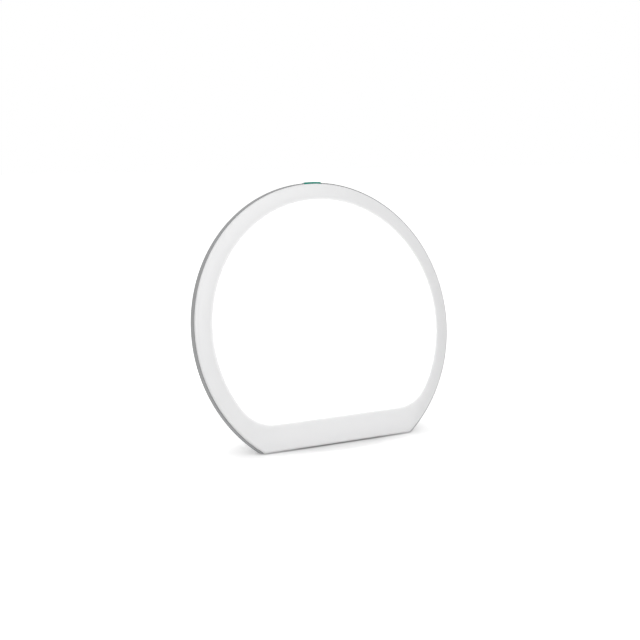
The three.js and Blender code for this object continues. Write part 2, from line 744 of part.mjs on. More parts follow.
function jackRail(side) {
  const middle = JACK_SIDE + side * (JACK_WIDTH / 2 + FIT + JACK_RAIL / 2);
  const front = JACK_REAR - JACK_BORE_DEPTH;
  return block(middle, JACK_RAIL, front, PANEL_REAR - SUNK,
    -JACK_DROP - JACK_HEIGHT / 2, JACK_HEIGHT / 2 - JACK_DROP);
}

function footRecess(side) {
  return fromTable(footBlank(side, FIT, FOOT_PROUD + FOOT_SUNK + FIT));
}

function rearHousing() {
  const outer = ringLoft(flankRings(0, RIM_RADIUS + SEAM_STEP), false);
  const hollow = flankRings(WALL, RIM_RADIUS - SEAM_WALL);
  hollow.unshift({ outline: hollow[0].outline, depth: -OVERRUN });
  const cavity = cut(ringLoft(hollow, false), tableCutter(FOOT_PROUD + BASE_WALL));
  const recessBlock = plate(recessOutline(RECESS_WALL), RECESS_FLOOR - RECESS_WALL, OVERRUN);
  const towers = housingSpots.map((spot) => post(spot, TOWER_RADIUS, TOWER_FRONT, OVERRUN));
  const sides = [-1, 1];
  const inside = join(recessBlock, heelStop(), ...towers, ...stiffeningRibs(), ...sides.map(hingeEar),
    ...sides.map(switchCradle), ...sides.map(jackRail));
  const body = join(cut(outer, cavity), common(inside, outer));
  const screwHoles = housingSpots.map((spot) => post(spot, SHANK_RADIUS + RUNNING, 0, OVERRUN, PIN_SIDES));
  const counterbores = housingSpots.map((spot) => post(spot, COUNTERBORE, TOWER_SEAT, OVERRUN));
  const pinBore = atHinge(crossRod(PIN_RADIUS + RUNNING, -HINGE_REACH, HINGE_REACH, ROUND_SIDES));
  const jackSpot = new THREE.Vector2(JACK_SIDE, -JACK_DROP);
  const slotRear = BUTTON_FRONT + BUTTON_DEPTH + FIT;
  const buttonSlot = block(0, BUTTON_LENGTH + 2 * FIT, 0, slotRear, RIM_RADIUS - WALL, BODY_RADIUS + WALL);
  const boardSlot = block(0, SWITCH_BOARD_LENGTH + 2 * FIT, 0, SWITCH_MIDDLE + SWITCH_BOARD_DEPTH / 2 + FIT,
    switchBoardLow() - FIT, switchBoardLow() + SWITCH_BOARD_THICK + FIT);
  const flangeLow = BUTTON_ROOT - FLANGE_THICK - BUTTON_TRAVEL - FIT;
  const flangeRoom = curvedBar(BUTTON_LENGTH / 2 + FLANGE_EXTRA + FIT, flangeLow, BUTTON_ROOT + FIT,
    FLANGE_FRONT - FIT, FLANGE_FRONT + FLANGE_DEPTH + FIT);
  const recess = plate(recessOutline(0), RECESS_FLOOR, OVERRUN);
  const jackMouth = post(jackSpot, JACK_MOUTH, RECESS_FLOOR, OVERRUN);
  const finished = cut(body, tableCutter(FOOT_PROUD), recess, heelPocket(), pinBore, jackMouth,
    buttonSlot, flangeRoom, boardSlot, ...sides.map(footRecess), ...screwHoles, ...counterbores);
  return piece('rear_housing', finished, silverPlastic);
}

// Feet, flat on the table
function footBlank(side, margin, height) {
  const length = FOOT_LENGTH + 2 * margin;
  const depth = FOOT_DEPTH + 2 * margin;
  const middle = side * FOOT_SPACING / 2;
  const corner = depth / 2 - SUNK;
  const front = BASE_FRONT + FOOT_SETBACK - depth / 2;
  const outline = roundedRectangle(middle - length / 2, front, length, depth, corner);
  return new THREE.ExtrudeGeometry(new THREE.Shape(outline), { depth: height, bevelEnabled: false });
}

function baseFoot(name, side) {
  return piece(name, footBlank(side, 0, FOOT_PROUD + FOOT_SUNK), rubber);
}

// Kickstand, drawn about its pin with the leg hanging straight down
function legOutline(inset, top, length) {
  const slope = (LEG_TOP_HALF - LEG_FOOT_HALF) / (LEG_LENGTH - LEG_STRAIGHT);
  const low = LEG_TOP_HALF - slope * (length - LEG_STRAIGHT) - inset;
  const right = [
    new THREE.Vector2(low, -length),
    new THREE.Vector2(LEG_TOP_HALF - inset, -LEG_STRAIGHT),
    new THREE.Vector2(LEG_TOP_HALF - inset, top),
  ];
  return [...right, ...right.map(mirrored).reverse()];
}

function legPockets() {
  const top = -LEG_STRAIGHT;
  const span = LEG_PLATE_END - LEG_STRAIGHT - LEG_RIB;
  const pitch = span / LEG_ROWS;
  const outline = legOutline(LEG_RIB, 0, LEG_PLATE_END - LEG_RIB);
  const inside = plate(outline, -LEG_THICK, LEG_THICK / 2 - LEG_SKIN);
  const cells = [];
  for (let row = 0; row < LEG_ROWS; row += 1) {
    const high = top - row * pitch;
    for (const side of [-1, 1]) {
      const width = LEG_TOP_HALF - LEG_RIB / 2;
      const middle = side * (LEG_RIB + width) / 2;
      cells.push(block(middle, width, -LEG_THICK, LEG_THICK, high - pitch + LEG_RIB, high));
    }
  }
  return cells.map((cell) => common(inside, cell));
}

function gripGrooves() {
  return Array.from({ length: GRIP_COUNT }, (_, step) => {
    const middle = -LEG_PLATE_END + LEG_STRAIGHT + step * GRIP_PITCH;
    return block(0, 2 * GRIP_HALF, LEG_THICK / 2 - GRIP_DEPTH, LEG_THICK,
      middle - GRIP_WIDTH / 2, middle + GRIP_WIDTH / 2);
  });
}

function kickstandLeg() {
  const blank = plate(legOutline(0, HEEL, LEG_PLATE_END), -LEG_THICK / 2, LEG_THICK / 2);
  const tongue = block(0, 2 * SHOE_TONGUE_HALF, -SHOE_TONGUE_THICK / 2, SHOE_TONGUE_THICK / 2,
    -LEG_PLATE_END - SHOE_TONGUE, -LEG_PLATE_END + SUNK);
  const bore = crossRod(PIN_RADIUS + RUNNING, -HINGE_REACH, HINGE_REACH, ROUND_SIDES);
  const seats = [-1, 1].map((side) => {
    const face = side * LEG_TOP_HALF;
    const floor = side * (LEG_TOP_HALF - LEG_GAP);
    return crossRod(WASHER_RADIUS + RUNNING, Math.min(face, floor), Math.max(face, floor), ROUND_SIDES);
  });
  const body = cut(join(blank, tongue), bore, ...seats, ...legPockets(), ...gripGrooves());
  return piece('kickstand_leg', body, silverPlastic);
}

function tableBelowPin(depth) {
  return (-HINGE_HEIGHT - depth * Math.sin(LEG_SPREAD)) / Math.cos(LEG_SPREAD);
}

function kickstandShoe() {
  const half = LEG_THICK / 2;
  const top = -LEG_LENGTH + SHOE_HEIGHT;
  const rear = half - SHOE_BEVEL;
  const section = [
    new THREE.Vector2(-half, tableBelowPin(-half)),
    new THREE.Vector2(rear, tableBelowPin(rear)),
    new THREE.Vector2(half, tableBelowPin(half) + SHOE_BEVEL),
    new THREE.Vector2(half, top),
    new THREE.Vector2(-half, top),
  ];
  const pocketHalf = SHOE_TONGUE_THICK / 2 + FIT;
  const pocket = block(0, 2 * (SHOE_TONGUE_HALF + FIT), -pocketHalf, pocketHalf,
    -LEG_PLATE_END - SHOE_TONGUE - FIT, OVERRUN - LEG_LENGTH);
  return piece('kickstand_shoe', cut(crosswise(section, 2 * LEG_FOOT_HALF), pocket), rubber);
}

function hingePin() {
  const half = LEG_TOP_HALF + LEG_GAP + PIN_HOLD;
  return piece('hinge_pin', atHinge(crossRod(PIN_RADIUS, -half, half)), steel);
}

function hingeWasher(name, side) {
  const inner = side * (LEG_TOP_HALF + LEG_GAP - WASHER_PLAY);
  const outer = inner - side * WASHER_THICK;
  const ring = crossRod(WASHER_RADIUS, Math.min(inner, outer), Math.max(inner, outer), ROUND_SIDES);
  const hole = crossRod(PIN_RADIUS + RUNNING, -HINGE_REACH, HINGE_REACH, PIN_SIDES);
  return piece(name, atHinge(cut(ring, hole)), steel);
}

function kickstand() {
  const stand = new THREE.Group();
  stand.position.set(0, HINGE_DEPTH, HINGE_RISE);
  stand.rotation.x = LEG_OPEN;
  stand.add(kickstandLeg(), kickstandShoe());
  return stand;
}

// Power button: a cap that follows the curve of the edge, on a retaining flange
function curvedBar(halfLength, innerRadius, outerRadius, front, rear) {
  const half = halfLength / outerRadius;
  const centre = new THREE.Vector2();
  const outer = arc(centre, outerRadius, RIGHT_ANGLE - half, RIGHT_ANGLE + half, BASE_STEPS);
  const inner = arc(centre, innerRadius, RIGHT_ANGLE + half, RIGHT_ANGLE - half, BASE_STEPS);
  return plate([...outer, ...inner], front, rear);
}

function powerButton() {
  const top = BODY_RADIUS + BUTTON_PROUD;
  const half = BUTTON_LENGTH / 2;
  const rear = BUTTON_FRONT + BUTTON_DEPTH;
  const cap = curvedBar(half, BUTTON_ROOT - SUNK, top - BUTTON_CORNER, BUTTON_FRONT, rear);
  const bevel = BUTTON_CORNER / 2;
  const crown = curvedBar(half - BUTTON_CORNER, BUTTON_ROOT, top, BUTTON_FRONT + bevel, rear - bevel);
  const flange = curvedBar(half + FLANGE_EXTRA, BUTTON_ROOT - FLANGE_THICK, BUTTON_ROOT,
    FLANGE_FRONT, FLANGE_FRONT + FLANGE_DEPTH);
  const stem = block(0, STEM_WIDTH, SWITCH_MIDDLE - STEM_DEPTH / 2, SWITCH_MIDDLE + STEM_DEPTH / 2,
    stemEnd(), BUTTON_ROOT - SUNK);
  return piece('power_button', join(cap, crown, flange, stem), tealPlastic);
}

function stemEnd() {
  return BUTTON_ROOT - FLANGE_THICK - STEM_LENGTH;
}

function switchPlunger() {
  const top = stemEnd() - FIT;
  const rod = uprightRod(PLUNGER_RADIUS, 0, SWITCH_MIDDLE, top - PLUNGER_LENGTH, top);
  return piece('switch_plunger', rod, blackPart);
}

function switchBoard() {
  const low = switchBoardLow();
  const board = block(0, SWITCH_BOARD_LENGTH, SWITCH_MIDDLE - SWITCH_BOARD_DEPTH / 2,
    SWITCH_MIDDLE + SWITCH_BOARD_DEPTH / 2, low, low + SWITCH_BOARD_THICK);
  return piece('switch_board', board, greenBoard);
}

function tactSwitch() {
  const low = switchBoardLow() + SWITCH_BOARD_THICK + FIT;
  const body = block(0, SWITCH_WIDTH, SWITCH_MIDDLE - SWITCH_DEPTH / 2, SWITCH_MIDDLE + SWITCH_DEPTH / 2,
    low, low + SWITCH_HEIGHT);
  const bore = uprightRod(PLUNGER_RADIUS + RUNNING, 0, SWITCH_MIDDLE, low + SWITCH_FLOOR, low + OVERRUN);
  return piece('tact_switch', cut(body, bore), blackPart);
}

// Control board
function controlBoard() {
  const low = BOARD_TOP - BOARD_HEIGHT;
  const outline = roundedRectangle(BOARD_LEFT, low, BOARD_WIDTH, BOARD_HEIGHT, BOARD_CORNER);
  const holes = boardSpots.map((spot) => circle(spot, BOARD_HOLE));
  const board = plate(outline, BOARD_FRONT, BOARD_REAR, holes);
  const row = Array.from({ length: SMALL_PART_COUNT }, (_, step) => {
    const middle = BOARD_LEFT + BOARD_WIDTH / 2 + (step - (SMALL_PART_COUNT - 1) / 2) * SMALL_PART_PITCH;
    const high = BOARD_TOP - BOARD_HEIGHT * SMALL_ROW_SHARE;
    const rear = BOARD_REAR + SMALL_PART_HEIGHT;
    return block(middle, SMALL_PART, BOARD_REAR - SUNK, rear, high - SMALL_PART, high);
  });
  return piece('control_board', join(board, ...row), greenBoard);
}

// A place on the board, given as shares of its width and height
function onBoard([acrossShare, downShare]) {
  return new THREE.Vector2(BOARD_LEFT + BOARD_WIDTH * acrossShare, BOARD_TOP - BOARD_HEIGHT * downShare);
}

function boardBlock(name, spot, width, height, thick, material) {
  const front = BOARD_REAR + FIT;
  const body = block(spot.x, width, front, front + thick, spot.y - height / 2, spot.y + height / 2);
  return piece(name, body, material);
}

function levelConnector(name, spot) {
  return boardBlock(name, spot, CONNECTOR_WIDTH, CONNECTOR_DEPTH, CONNECTOR_HEIGHT, creamNylon);
}

function driverInductor(spot) {
  const left = spot.x - INDUCTOR_SIZE / 2;
  const low = spot.y - INDUCTOR_SIZE / 2;
  const outline = roundedRectangle(left, low, INDUCTOR_SIZE, INDUCTOR_SIZE, INDUCTOR_CORNER);
  const front = BOARD_REAR + FIT;
  return piece('driver_inductor', plate(outline, front, front + INDUCTOR_HEIGHT), blackPart);
}

function capacitor(name, spot) {
  const front = BOARD_REAR + FIT;
  return piece(name, post(spot, CAPACITOR_RADIUS, front, front + CAPACITOR_HEIGHT), aluminium);
}

const ledPlug = onBoard(LED_PLUG_SHARES);
const switchPlug = onBoard(SWITCH_PLUG_SHARES);
const powerPlug = onBoard(POWER_PLUG_SHARES);

function boardParts() {
  return [
    boardBlock('driver_chip', onBoard(CHIP_SHARES), CHIP_SIZE, CHIP_SIZE, CHIP_HEIGHT, blackPart),
    driverInductor(onBoard(INDUCTOR_SHARES)),
    capacitor('input_capacitor', onBoard(INPUT_SHARES)),
    capacitor('output_capacitor', onBoard(OUTPUT_SHARES)),
    boardBlock('led_connector', ledPlug, CONNECTOR_DEPTH, CONNECTOR_WIDTH, CONNECTOR_HEIGHT, creamNylon),
    levelConnector('switch_connector', switchPlug),
    levelConnector('power_connector', powerPlug),
  ];
}

// DC inlet
function dcJack() {
  const front = JACK_REAR - JACK_LENGTH;
  const spot = new THREE.Vector2(JACK_SIDE, -JACK_DROP);
  const half = JACK_HEIGHT / 2;
  const body = block(JACK_SIDE, JACK_WIDTH, front, JACK_REAR, spot.y - half, spot.y + half);
  const bore = post(spot, JACK_BORE, JACK_REAR - JACK_BORE_DEPTH, OVERRUN);
  const pinHole = post(spot, JACK_PIN + RUNNING, -OVERRUN, OVERRUN, PIN_SIDES);
  return piece('dc_jack', cut(body, bore, pinHole), blackPart);
}

function jackPin() {
  const spot = new THREE.Vector2(JACK_SIDE, -JACK_DROP);
  const front = JACK_REAR - JACK_LENGTH - JACK_TAG;
  return piece('jack_pin', post(spot, JACK_PIN, front, JACK_REAR - JACK_PIN_RECESS, PIN_SIDES), steel);
}

// Screws, tip forward, head to the rear
function screwGeometry(length) {
  const profile = [
    new THREE.Vector2(0, -length),
    new THREE.Vector2(SHANK_RADIUS, -length),
    new THREE.Vector2(SHANK_RADIUS, 0),
    new THREE.Vector2(HEAD_RADIUS, 0),
    new THREE.Vector2(HEAD_RADIUS, HEAD_HEIGHT * HEAD_EDGE_SHARE),
    new THREE.Vector2(HEAD_RADIUS * HEAD_TOP_SHARE, HEAD_HEIGHT),
    new THREE.Vector2(0, HEAD_HEIGHT),
  ];
  const turned = new THREE.LatheGeometry(profile, SCREW_SIDES);
  const bottom = HEAD_HEIGHT - CROSS_DEPTH;
  const slots = [
    block(0, CROSS_SPAN, bottom, HEAD_RADIUS, -CROSS_WIDTH / 2, CROSS_WIDTH / 2),
    block(0, CROSS_WIDTH, bottom, HEAD_RADIUS, -CROSS_SPAN / 2, CROSS_SPAN / 2),
  ];
  return cut(turned, ...slots);
}

function screws(label, spots, seat, length) {
  return spots.map((spot, index) => {
    const screw = piece(`${label}_screw_${index + 1}`, screwGeometry(length), steel);
    screw.position.set(spot.x, seat + FIT, spot.y);
    return screw;
  });
}

// Leads
function lead(name, points, radius) {
  const section = arc(new THREE.Vector2(), radius, 0, FULL_TURN, LEAD_SIDES).slice(1);
  const extrudePath = new THREE.CatmullRomCurve3(points);
  const geometry = new THREE.ExtrudeGeometry(new THREE.Shape(section), { steps: LEAD_STEPS, extrudePath });
  return piece(name, geometry, leadBlack);
}

function at(spot, depth) {
  return new THREE.Vector3(spot.x, depth, spot.y);
}

function ledLead() {
  const start = ledPlug.clone();
  start.x += CONNECTOR_DEPTH / 2 + FIT;
  const crossing = WINDOW_RADIUS + FRAME_OUTER + LEAD_RADIUS + FIT;
  const turn = arcSpot(STRIP_START, crossing);
  turn.y -= LEAD_RADIUS;
  const end = turn.clone();
  end.x -= FRAME_WALL + FIT + LEAD_RADIUS;
  const approach = start.clone().lerp(turn, 1 / 2);
  const strip = GUIDE_FRONT + GUIDE_THICK / 2;
  const points = [at(start, LEAD_DEPTH), at(approach, LEAD_DEPTH)];
  points.push(at(turn, (LEAD_DEPTH + strip) / 2), at(end, strip));
  return lead('led_lead', points, LEAD_RADIUS);
}

function switchLead() {
  const start = new THREE.Vector2(SWITCH_WIDTH, switchBoardLow() - FIT - LEAD_RADIUS);
  const depth = BACKING_REAR + FIT + LEAD_SLACK;
  const shoulder = new THREE.Vector2(start.x + SWITCH_WIDTH, start.y - SWITCH_WIDTH);
  const end = switchPlug.clone();
  end.y += CONNECTOR_DEPTH / 2 + FIT;
  const above = new THREE.Vector2(end.x, start.y / 2);
  const points = [at(start, depth), at(shoulder, depth), at(above, LEAD_DEPTH), at(end, LEAD_DEPTH)];
  return lead('switch_lead', points, LEAD_RADIUS);
}

function powerLead() {
  const side = JACK_SIDE + JACK_WIDTH / 2 + FIT + JACK_RAIL + LEAD_SLACK;
  const start = new THREE.Vector2(side, -JACK_DROP);
  const end = powerPlug.clone();
  end.y -= CONNECTOR_DEPTH / 2 + FIT;
  const approach = end.clone();
  approach.y -= CONNECTOR_DEPTH;
  const bend = start.clone().lerp(approach, 1 / 2);
  const points = [at(start, SWITCH_MIDDLE), at(bend, LEAD_DEPTH)];
  points.push(at(approach, LEAD_DEPTH), at(end, LEAD_DEPTH));
  return lead('power_lead', points, LEAD_RADIUS);
}

// The leaning panel with all that it carries
function panel() {
  const group = new THREE.Group();
  group.position.z = PANEL_LIFT;
  group.rotation.x = -LEAN;
  group.add(
    frontBezel(),
    edgeGasket(),
    sheet('diffuser_panel', DIFFUSER_FRONT, DIFFUSER_THICK, opalAcrylic),
    sheet('diffuser_film', FILM_FRONT, FILM_THICK, whiteFilm),
    sheet('light_guide', GUIDE_FRONT, GUIDE_THICK, clearAcrylic),
    sheet('reflector_sheet', REFLECTOR_FRONT, REFLECTOR_THICK, whiteFilm),
    lightFrame(),
    ledStrip('led_strip_right', false),
    ledStrip('led_strip_left', true),
    stripJumper(),
    backingPlate(),
    rearHousing(),
    hingePin(),
    hingeWasher('hinge_washer_right', 1),
    hingeWasher('hinge_washer_left', -1),
    kickstand(),
    powerButton(),
    switchPlunger(),
    switchBoard(),
    tactSwitch(),
    controlBoard(),
    ...boardParts(),
    dcJack(),
    jackPin(),
    ledLead(),
    switchLead(),
    powerLead(),
    ...screws('housing', housingSpots, TOWER_SEAT, HOUSING_SCREW_LENGTH),
    ...screws('plate', lugSpots, BACKING_REAR, PLATE_SCREW_LENGTH),
    ...screws('board', boardSpots, BOARD_REAR, BOARD_SCREW_LENGTH),
  );
  return group;
}

// The whole lamp, set so that the origin is the middle of its footprint
function lightTherapyLamp() {
  const stance = new THREE.Group();
  stance.add(panel(), baseFoot('base_foot_right', 1), baseFoot('base_foot_left', -1));
  const extent = new THREE.Box3().setFromObject(stance, true);
  stance.position.y = -(extent.min.y + extent.max.y) / 2;
  const lamp = new THREE.Group();
  lamp.add(stance);
  return lamp;
}

export default lightTherapyLamp();
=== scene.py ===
# %% [markdown]
# # A light therapy lamp
# The real lamp is a flat D-shaped panel that leans back on a folding leg. A
# white domed bezel frames a large opal window that glows evenly, a thin silver
# band of the rear housing shows round its edge, and a teal button sits on top.
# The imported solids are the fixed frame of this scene. Hidden parts keep their
# own solids and get finishes, and the parts that show are modelled again here
# with round edges and fine curves, each in the place that its solid has.

import math

import bmesh
import bpy
from mathutils import Matrix, Vector


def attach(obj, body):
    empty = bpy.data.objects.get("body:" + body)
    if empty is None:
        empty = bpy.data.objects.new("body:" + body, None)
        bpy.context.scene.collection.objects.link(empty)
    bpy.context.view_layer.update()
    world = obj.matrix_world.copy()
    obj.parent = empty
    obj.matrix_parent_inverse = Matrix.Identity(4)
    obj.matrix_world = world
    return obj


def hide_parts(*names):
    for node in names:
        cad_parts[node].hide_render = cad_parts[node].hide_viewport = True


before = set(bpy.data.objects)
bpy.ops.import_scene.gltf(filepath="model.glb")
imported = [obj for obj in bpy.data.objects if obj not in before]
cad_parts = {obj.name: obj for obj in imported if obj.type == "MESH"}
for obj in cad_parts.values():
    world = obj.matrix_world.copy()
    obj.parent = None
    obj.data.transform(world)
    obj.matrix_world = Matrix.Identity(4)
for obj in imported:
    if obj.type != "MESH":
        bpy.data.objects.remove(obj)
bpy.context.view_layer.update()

# %% [markdown]
# ## Camera
# The camera stands a little to the left of the lamp's middle line and slightly
# above it, so the left edge band shows. It is placed first, because every later
# choice is judged through it. Its distance and lens were fitted to the outline
# of the panel.

# %% Place the camera
MM = 0.001
RIGHT_ANGLE = math.pi / 2
CAMERA_TURN = math.radians(29.3)
CAMERA_PITCH = math.radians(9.3)
CAMERA_DISTANCE = 895 * MM
CAMERA_ASIDE = -6.1 * MM
CAMERA_ABOVE = 4.8 * MM
CAMERA_LENS, CAMERA_SENSOR, CAMERA_NEAREST = 64, 36, 10 * MM
PANEL_MIDDLE = Vector((0, -9.072, 90.794)) * MM

eye_turn = Matrix.Rotation(-CAMERA_TURN, 3, "Z") @ Matrix.Rotation(RIGHT_ANGLE - CAMERA_PITCH, 3, "X")
across, upward, backward = (eye_turn.col[axis] for axis in range(3))
camera_data = bpy.data.cameras.new("photo_camera")
camera_data.lens = CAMERA_LENS
camera_data.sensor_width = CAMERA_SENSOR
camera_data.clip_start = CAMERA_NEAREST
camera = bpy.data.objects.new("photo_camera", camera_data)
camera.rotation_euler = eye_turn.to_euler()
camera.location = PANEL_MIDDLE + backward * CAMERA_DISTANCE + across * CAMERA_ASIDE + upward * CAMERA_ABOVE
bpy.context.scene.collection.objects.link(camera)
bpy.context.scene.camera = camera
print("camera at", [round(v, 3) for v in camera.location])

# %% [markdown]
# ## Shader groups
# Moulded plastic is never one flat colour. It has a faint mottle where the melt
# flowed, and a fine grain from the spark-eroded mould. Two small groups hold
# these effects, so that each material places them with its own values. A group
# puts out only colours, values and heights. Three small tools come first.

# %% Make the tools for node trees
def new_group(name, inputs, outputs):
    """Makes an empty shader node group with the named float, colour and vector sockets."""
    group = bpy.data.node_groups.new(name, "ShaderNodeTree")
    kinds = {"value": "NodeSocketFloat", "colour": "NodeSocketColor", "vector": "NodeSocketVector"}
    for label, kind in inputs:
        group.interface.new_socket(label, in_out="INPUT", socket_type=kinds[kind])
    for label, kind in outputs:
        group.interface.new_socket(label, in_out="OUTPUT", socket_type=kinds[kind])
    return group, group.nodes.new("NodeGroupInput"), group.nodes.new("NodeGroupOutput")


def add_noise(tree, detail, roughness=0.5):
    """A noise texture read on the piece's own coordinates."""
    place = tree.nodes.new("ShaderNodeTexCoord")
    noise = tree.nodes.new("ShaderNodeTexNoise")
    noise.inputs["Detail"].default_value = detail
    noise.inputs["Roughness"].default_value = roughness
    tree.links.new(place.outputs["Object"], noise.inputs["Vector"])
    return noise


def add_maths(tree, operation, first, second):
    """A maths node whose two inputs are sockets or numbers."""
    node = tree.nodes.new("ShaderNodeMath")
    node.operation = operation
    for socket, value in zip(node.inputs, (first, second)):
        if isinstance(value, bpy.types.NodeSocket):
            tree.links.new(value, socket)
        else:
            socket.default_value = value
    return node.outputs["Value"]


print("node tools ready")

# %% [markdown]
# The mottle is one soft noise. It shifts the brightness of a colour by a few
# hundredths, and the roughness by the same share, so dull and bright patches
# fall together as they do on a real moulding.

# %% Make the mottle group
def make_mottle():
    """Colour and roughness that drift a little over the surface."""
    inputs = [("Colour", "colour"), ("Roughness", "value"), ("Scale", "value"), ("Drift", "value")]
    group, given, made = new_group("mottle", inputs, [("Colour", "colour"), ("Roughness", "value")])
    noise = add_noise(group, 4, 0.6)
    group.links.new(given.outputs["Scale"], noise.inputs["Scale"])
    centred = add_maths(group, "SUBTRACT", noise.outputs["Fac"], 0.5)
    drift = add_maths(group, "MULTIPLY", centred, given.outputs["Drift"])
    shade = group.nodes.new("ShaderNodeHueSaturation")
    group.links.new(given.outputs["Colour"], shade.inputs["Color"])
    group.links.new(add_maths(group, "ADD", drift, 1.0), shade.inputs["Value"])
    group.links.new(shade.outputs["Color"], made.inputs["Colour"])
    rough = add_maths(group, "ADD", given.outputs["Roughness"], drift)
    group.links.new(rough, made.inputs["Roughness"])
    return group


MOTTLE = make_mottle()
print("group", MOTTLE.name)

# %% [markdown]
# The grain is the sum of small cells and a finer noise. Stretched along one
# axis, the same group also draws the lines of rolled metal and film.

# %% Make the grain group
def make_grain():
    """The height of a fine moulded or sawn grain, stretched along any axis."""
    inputs = [("Scale", "value"), ("Stretch", "vector")]
    group, given, made = new_group("grain", inputs, [("Height", "value")])
    place = group.nodes.new("ShaderNodeTexCoord")
    stretch = group.nodes.new("ShaderNodeMapping")
    group.links.new(place.outputs["Object"], stretch.inputs["Vector"])
    group.links.new(given.outputs["Stretch"], stretch.inputs["Scale"])
    cells = group.nodes.new("ShaderNodeTexVoronoi")
    cells.feature = "SMOOTH_F1"
    fine = group.nodes.new("ShaderNodeTexNoise")
    fine.inputs["Detail"].default_value = 3
    for texture in (cells, fine):
        group.links.new(stretch.outputs["Vector"], texture.inputs["Vector"])
        group.links.new(given.outputs["Scale"], texture.inputs["Scale"])
    mix = add_maths(group, "ADD", cells.outputs["Distance"], fine.outputs["Fac"])
    group.links.new(add_maths(group, "MULTIPLY", mix, 0.5), made.inputs["Height"])
    return group


GRAIN = make_grain()
print("group", GRAIN.name)

# %% [markdown]
# ## Finishes
# Each finish is one material: a Principled shader whose colour and roughness
# come from the mottle group, and whose bump comes from the grain group. What
# is the same all over, such as the metal share or the coat, is set on the
# shader itself.

# %% Make the tool for a finish
COAT_ROUGHNESS, BUMP_STRENGTH = 0.15, 0.6


def finish(name, colour, roughness, drift=0.04, patch=30, grain=2500, depth=0.00002,
           stretch=(1, 1, 1), metal=0.0, coat=0.0, specular=0.5):
    """A material with its own colour, drift, grain and gloss. Scales are per metre, depth is in metres."""
    material = bpy.data.materials.new(name)
    material.use_nodes = True
    material.diffuse_color = (*colour, 1)
    tree = material.node_tree
    shader = tree.nodes["Principled BSDF"]
    shader.inputs["Metallic"].default_value = metal
    shader.inputs["Specular IOR Level"].default_value = specular
    shader.inputs["Coat Weight"].default_value = coat
    shader.inputs["Coat Roughness"].default_value = COAT_ROUGHNESS
    mottle = tree.nodes.new("ShaderNodeGroup")
    mottle.node_tree = MOTTLE
    mottle.name = "mottle"
    given = {"Colour": (*colour, 1), "Roughness": roughness, "Scale": patch, "Drift": drift}
    for label, value in given.items():
        mottle.inputs[label].default_value = value
    tree.links.new(mottle.outputs["Colour"], shader.inputs["Base Color"])
    tree.links.new(mottle.outputs["Roughness"], shader.inputs["Roughness"])
    pattern = tree.nodes.new("ShaderNodeGroup")
    pattern.node_tree = GRAIN
    pattern.name = "grain"
    for label, value in (("Scale", grain), ("Stretch", stretch)):
        pattern.inputs[label].default_value = value
    bump = tree.nodes.new("ShaderNodeBump")
    bump.inputs["Strength"].default_value = BUMP_STRENGTH
    bump.inputs["Distance"].default_value = depth
    tree.links.new(pattern.outputs["Height"], bump.inputs["Height"])
    tree.links.new(bump.outputs["Normal"], shader.inputs["Normal"])
    return material


print("coat roughness", COAT_ROUGHNESS, "bump strength", BUMP_STRENGTH)

# %% [markdown]
# The colours are linear values of clean, new material. The white is a neutral
# moulding white. The silver is plastic with a little metal flake in it, so its
# metal share is low. The teal is a dull soft plastic with hardly any shine.

# %% Mix the finishes
finishes = {
    "white_plastic": finish("satin_white", (0.812, 0.812, 0.816), 0.38, drift=0.015, patch=18, grain=1800,
                            depth=0.000008, coat=0.1),
    "silver_plastic": finish("textured_silver", (0.33, 0.333, 0.336), 0.5, drift=0.05, patch=40, grain=3200,
                             depth=0.00003, metal=0.25),
    "teal_plastic": finish("satin_teal", (0.001, 0.25, 0.185), 0.6, drift=0.04, patch=120, grain=3000,
                           specular=0.05),
    "opal_acrylic": finish("lit_opal", (0.9, 0.9, 0.9), 0.5, drift=0.01, patch=12, grain=1500,
                           depth=0.000004),
    "clear_acrylic": finish("clear_acrylic", (0.92, 0.95, 0.96), 0.08, drift=0.01, grain=600, depth=0.00001),
    "film": finish("optical_film", (0.9, 0.9, 0.9), 0.55, drift=0.01, grain=900, stretch=(1, 1, 6)),
    "foam": finish("black_foam", (0.02, 0.02, 0.02), 0.9, drift=0.3, patch=600, grain=1600, depth=0.0001),
    "strip": finish("lamp_strip", (0.85, 0.85, 0.8), 0.5, drift=0.05, patch=200, grain=2000),
    "aluminium": finish("mill_aluminium", (0.6, 0.61, 0.62), 0.36, drift=0.08, grain=900, stretch=(1, 1, 40),
                        metal=1.0),
    "steel": finish("zinc_steel", (0.5, 0.5, 0.51), 0.32, drift=0.15, patch=400, grain=1500, metal=1.0),
    "board": finish("circuit_board", (0.02, 0.14, 0.06), 0.35, drift=0.2, patch=150, grain=1200, coat=0.5),
    "black_part": finish("black_component", (0.02, 0.02, 0.02), 0.5, drift=0.2, patch=300, grain=2500),
    "nylon": finish("cream_nylon", (0.8, 0.76, 0.65), 0.5, drift=0.05, patch=200, grain=2000),
    "lead_sheath": finish("lead_sheath", (0.02, 0.02, 0.02), 0.5, drift=0.2, patch=300, grain=1500),
    "rubber": finish("soft_rubber", (0.09, 0.09, 0.1), 0.75, drift=0.15, patch=150, grain=2500,
                     depth=0.00005),
}
print("finishes", len(finishes))

# %% [markdown]
# The opal window is lit from behind by the guide and its strips of lamps, so
# its material also gives out light. Clear acrylic lets light through.

# %% Light the window and clear the guide
WINDOW_GLOW, GUIDE_CLEARNESS = 1.0, 0.9
opal = finishes["opal_acrylic"].node_tree.nodes["Principled BSDF"]
opal.inputs["Emission Color"].default_value = (1, 1, 1, 1)
opal.inputs["Emission Strength"].default_value = WINDOW_GLOW
guide = finishes["clear_acrylic"].node_tree.nodes["Principled BSDF"]
guide.inputs["Transmission Weight"].default_value = GUIDE_CLEARNESS
print("window glow", WINDOW_GLOW)
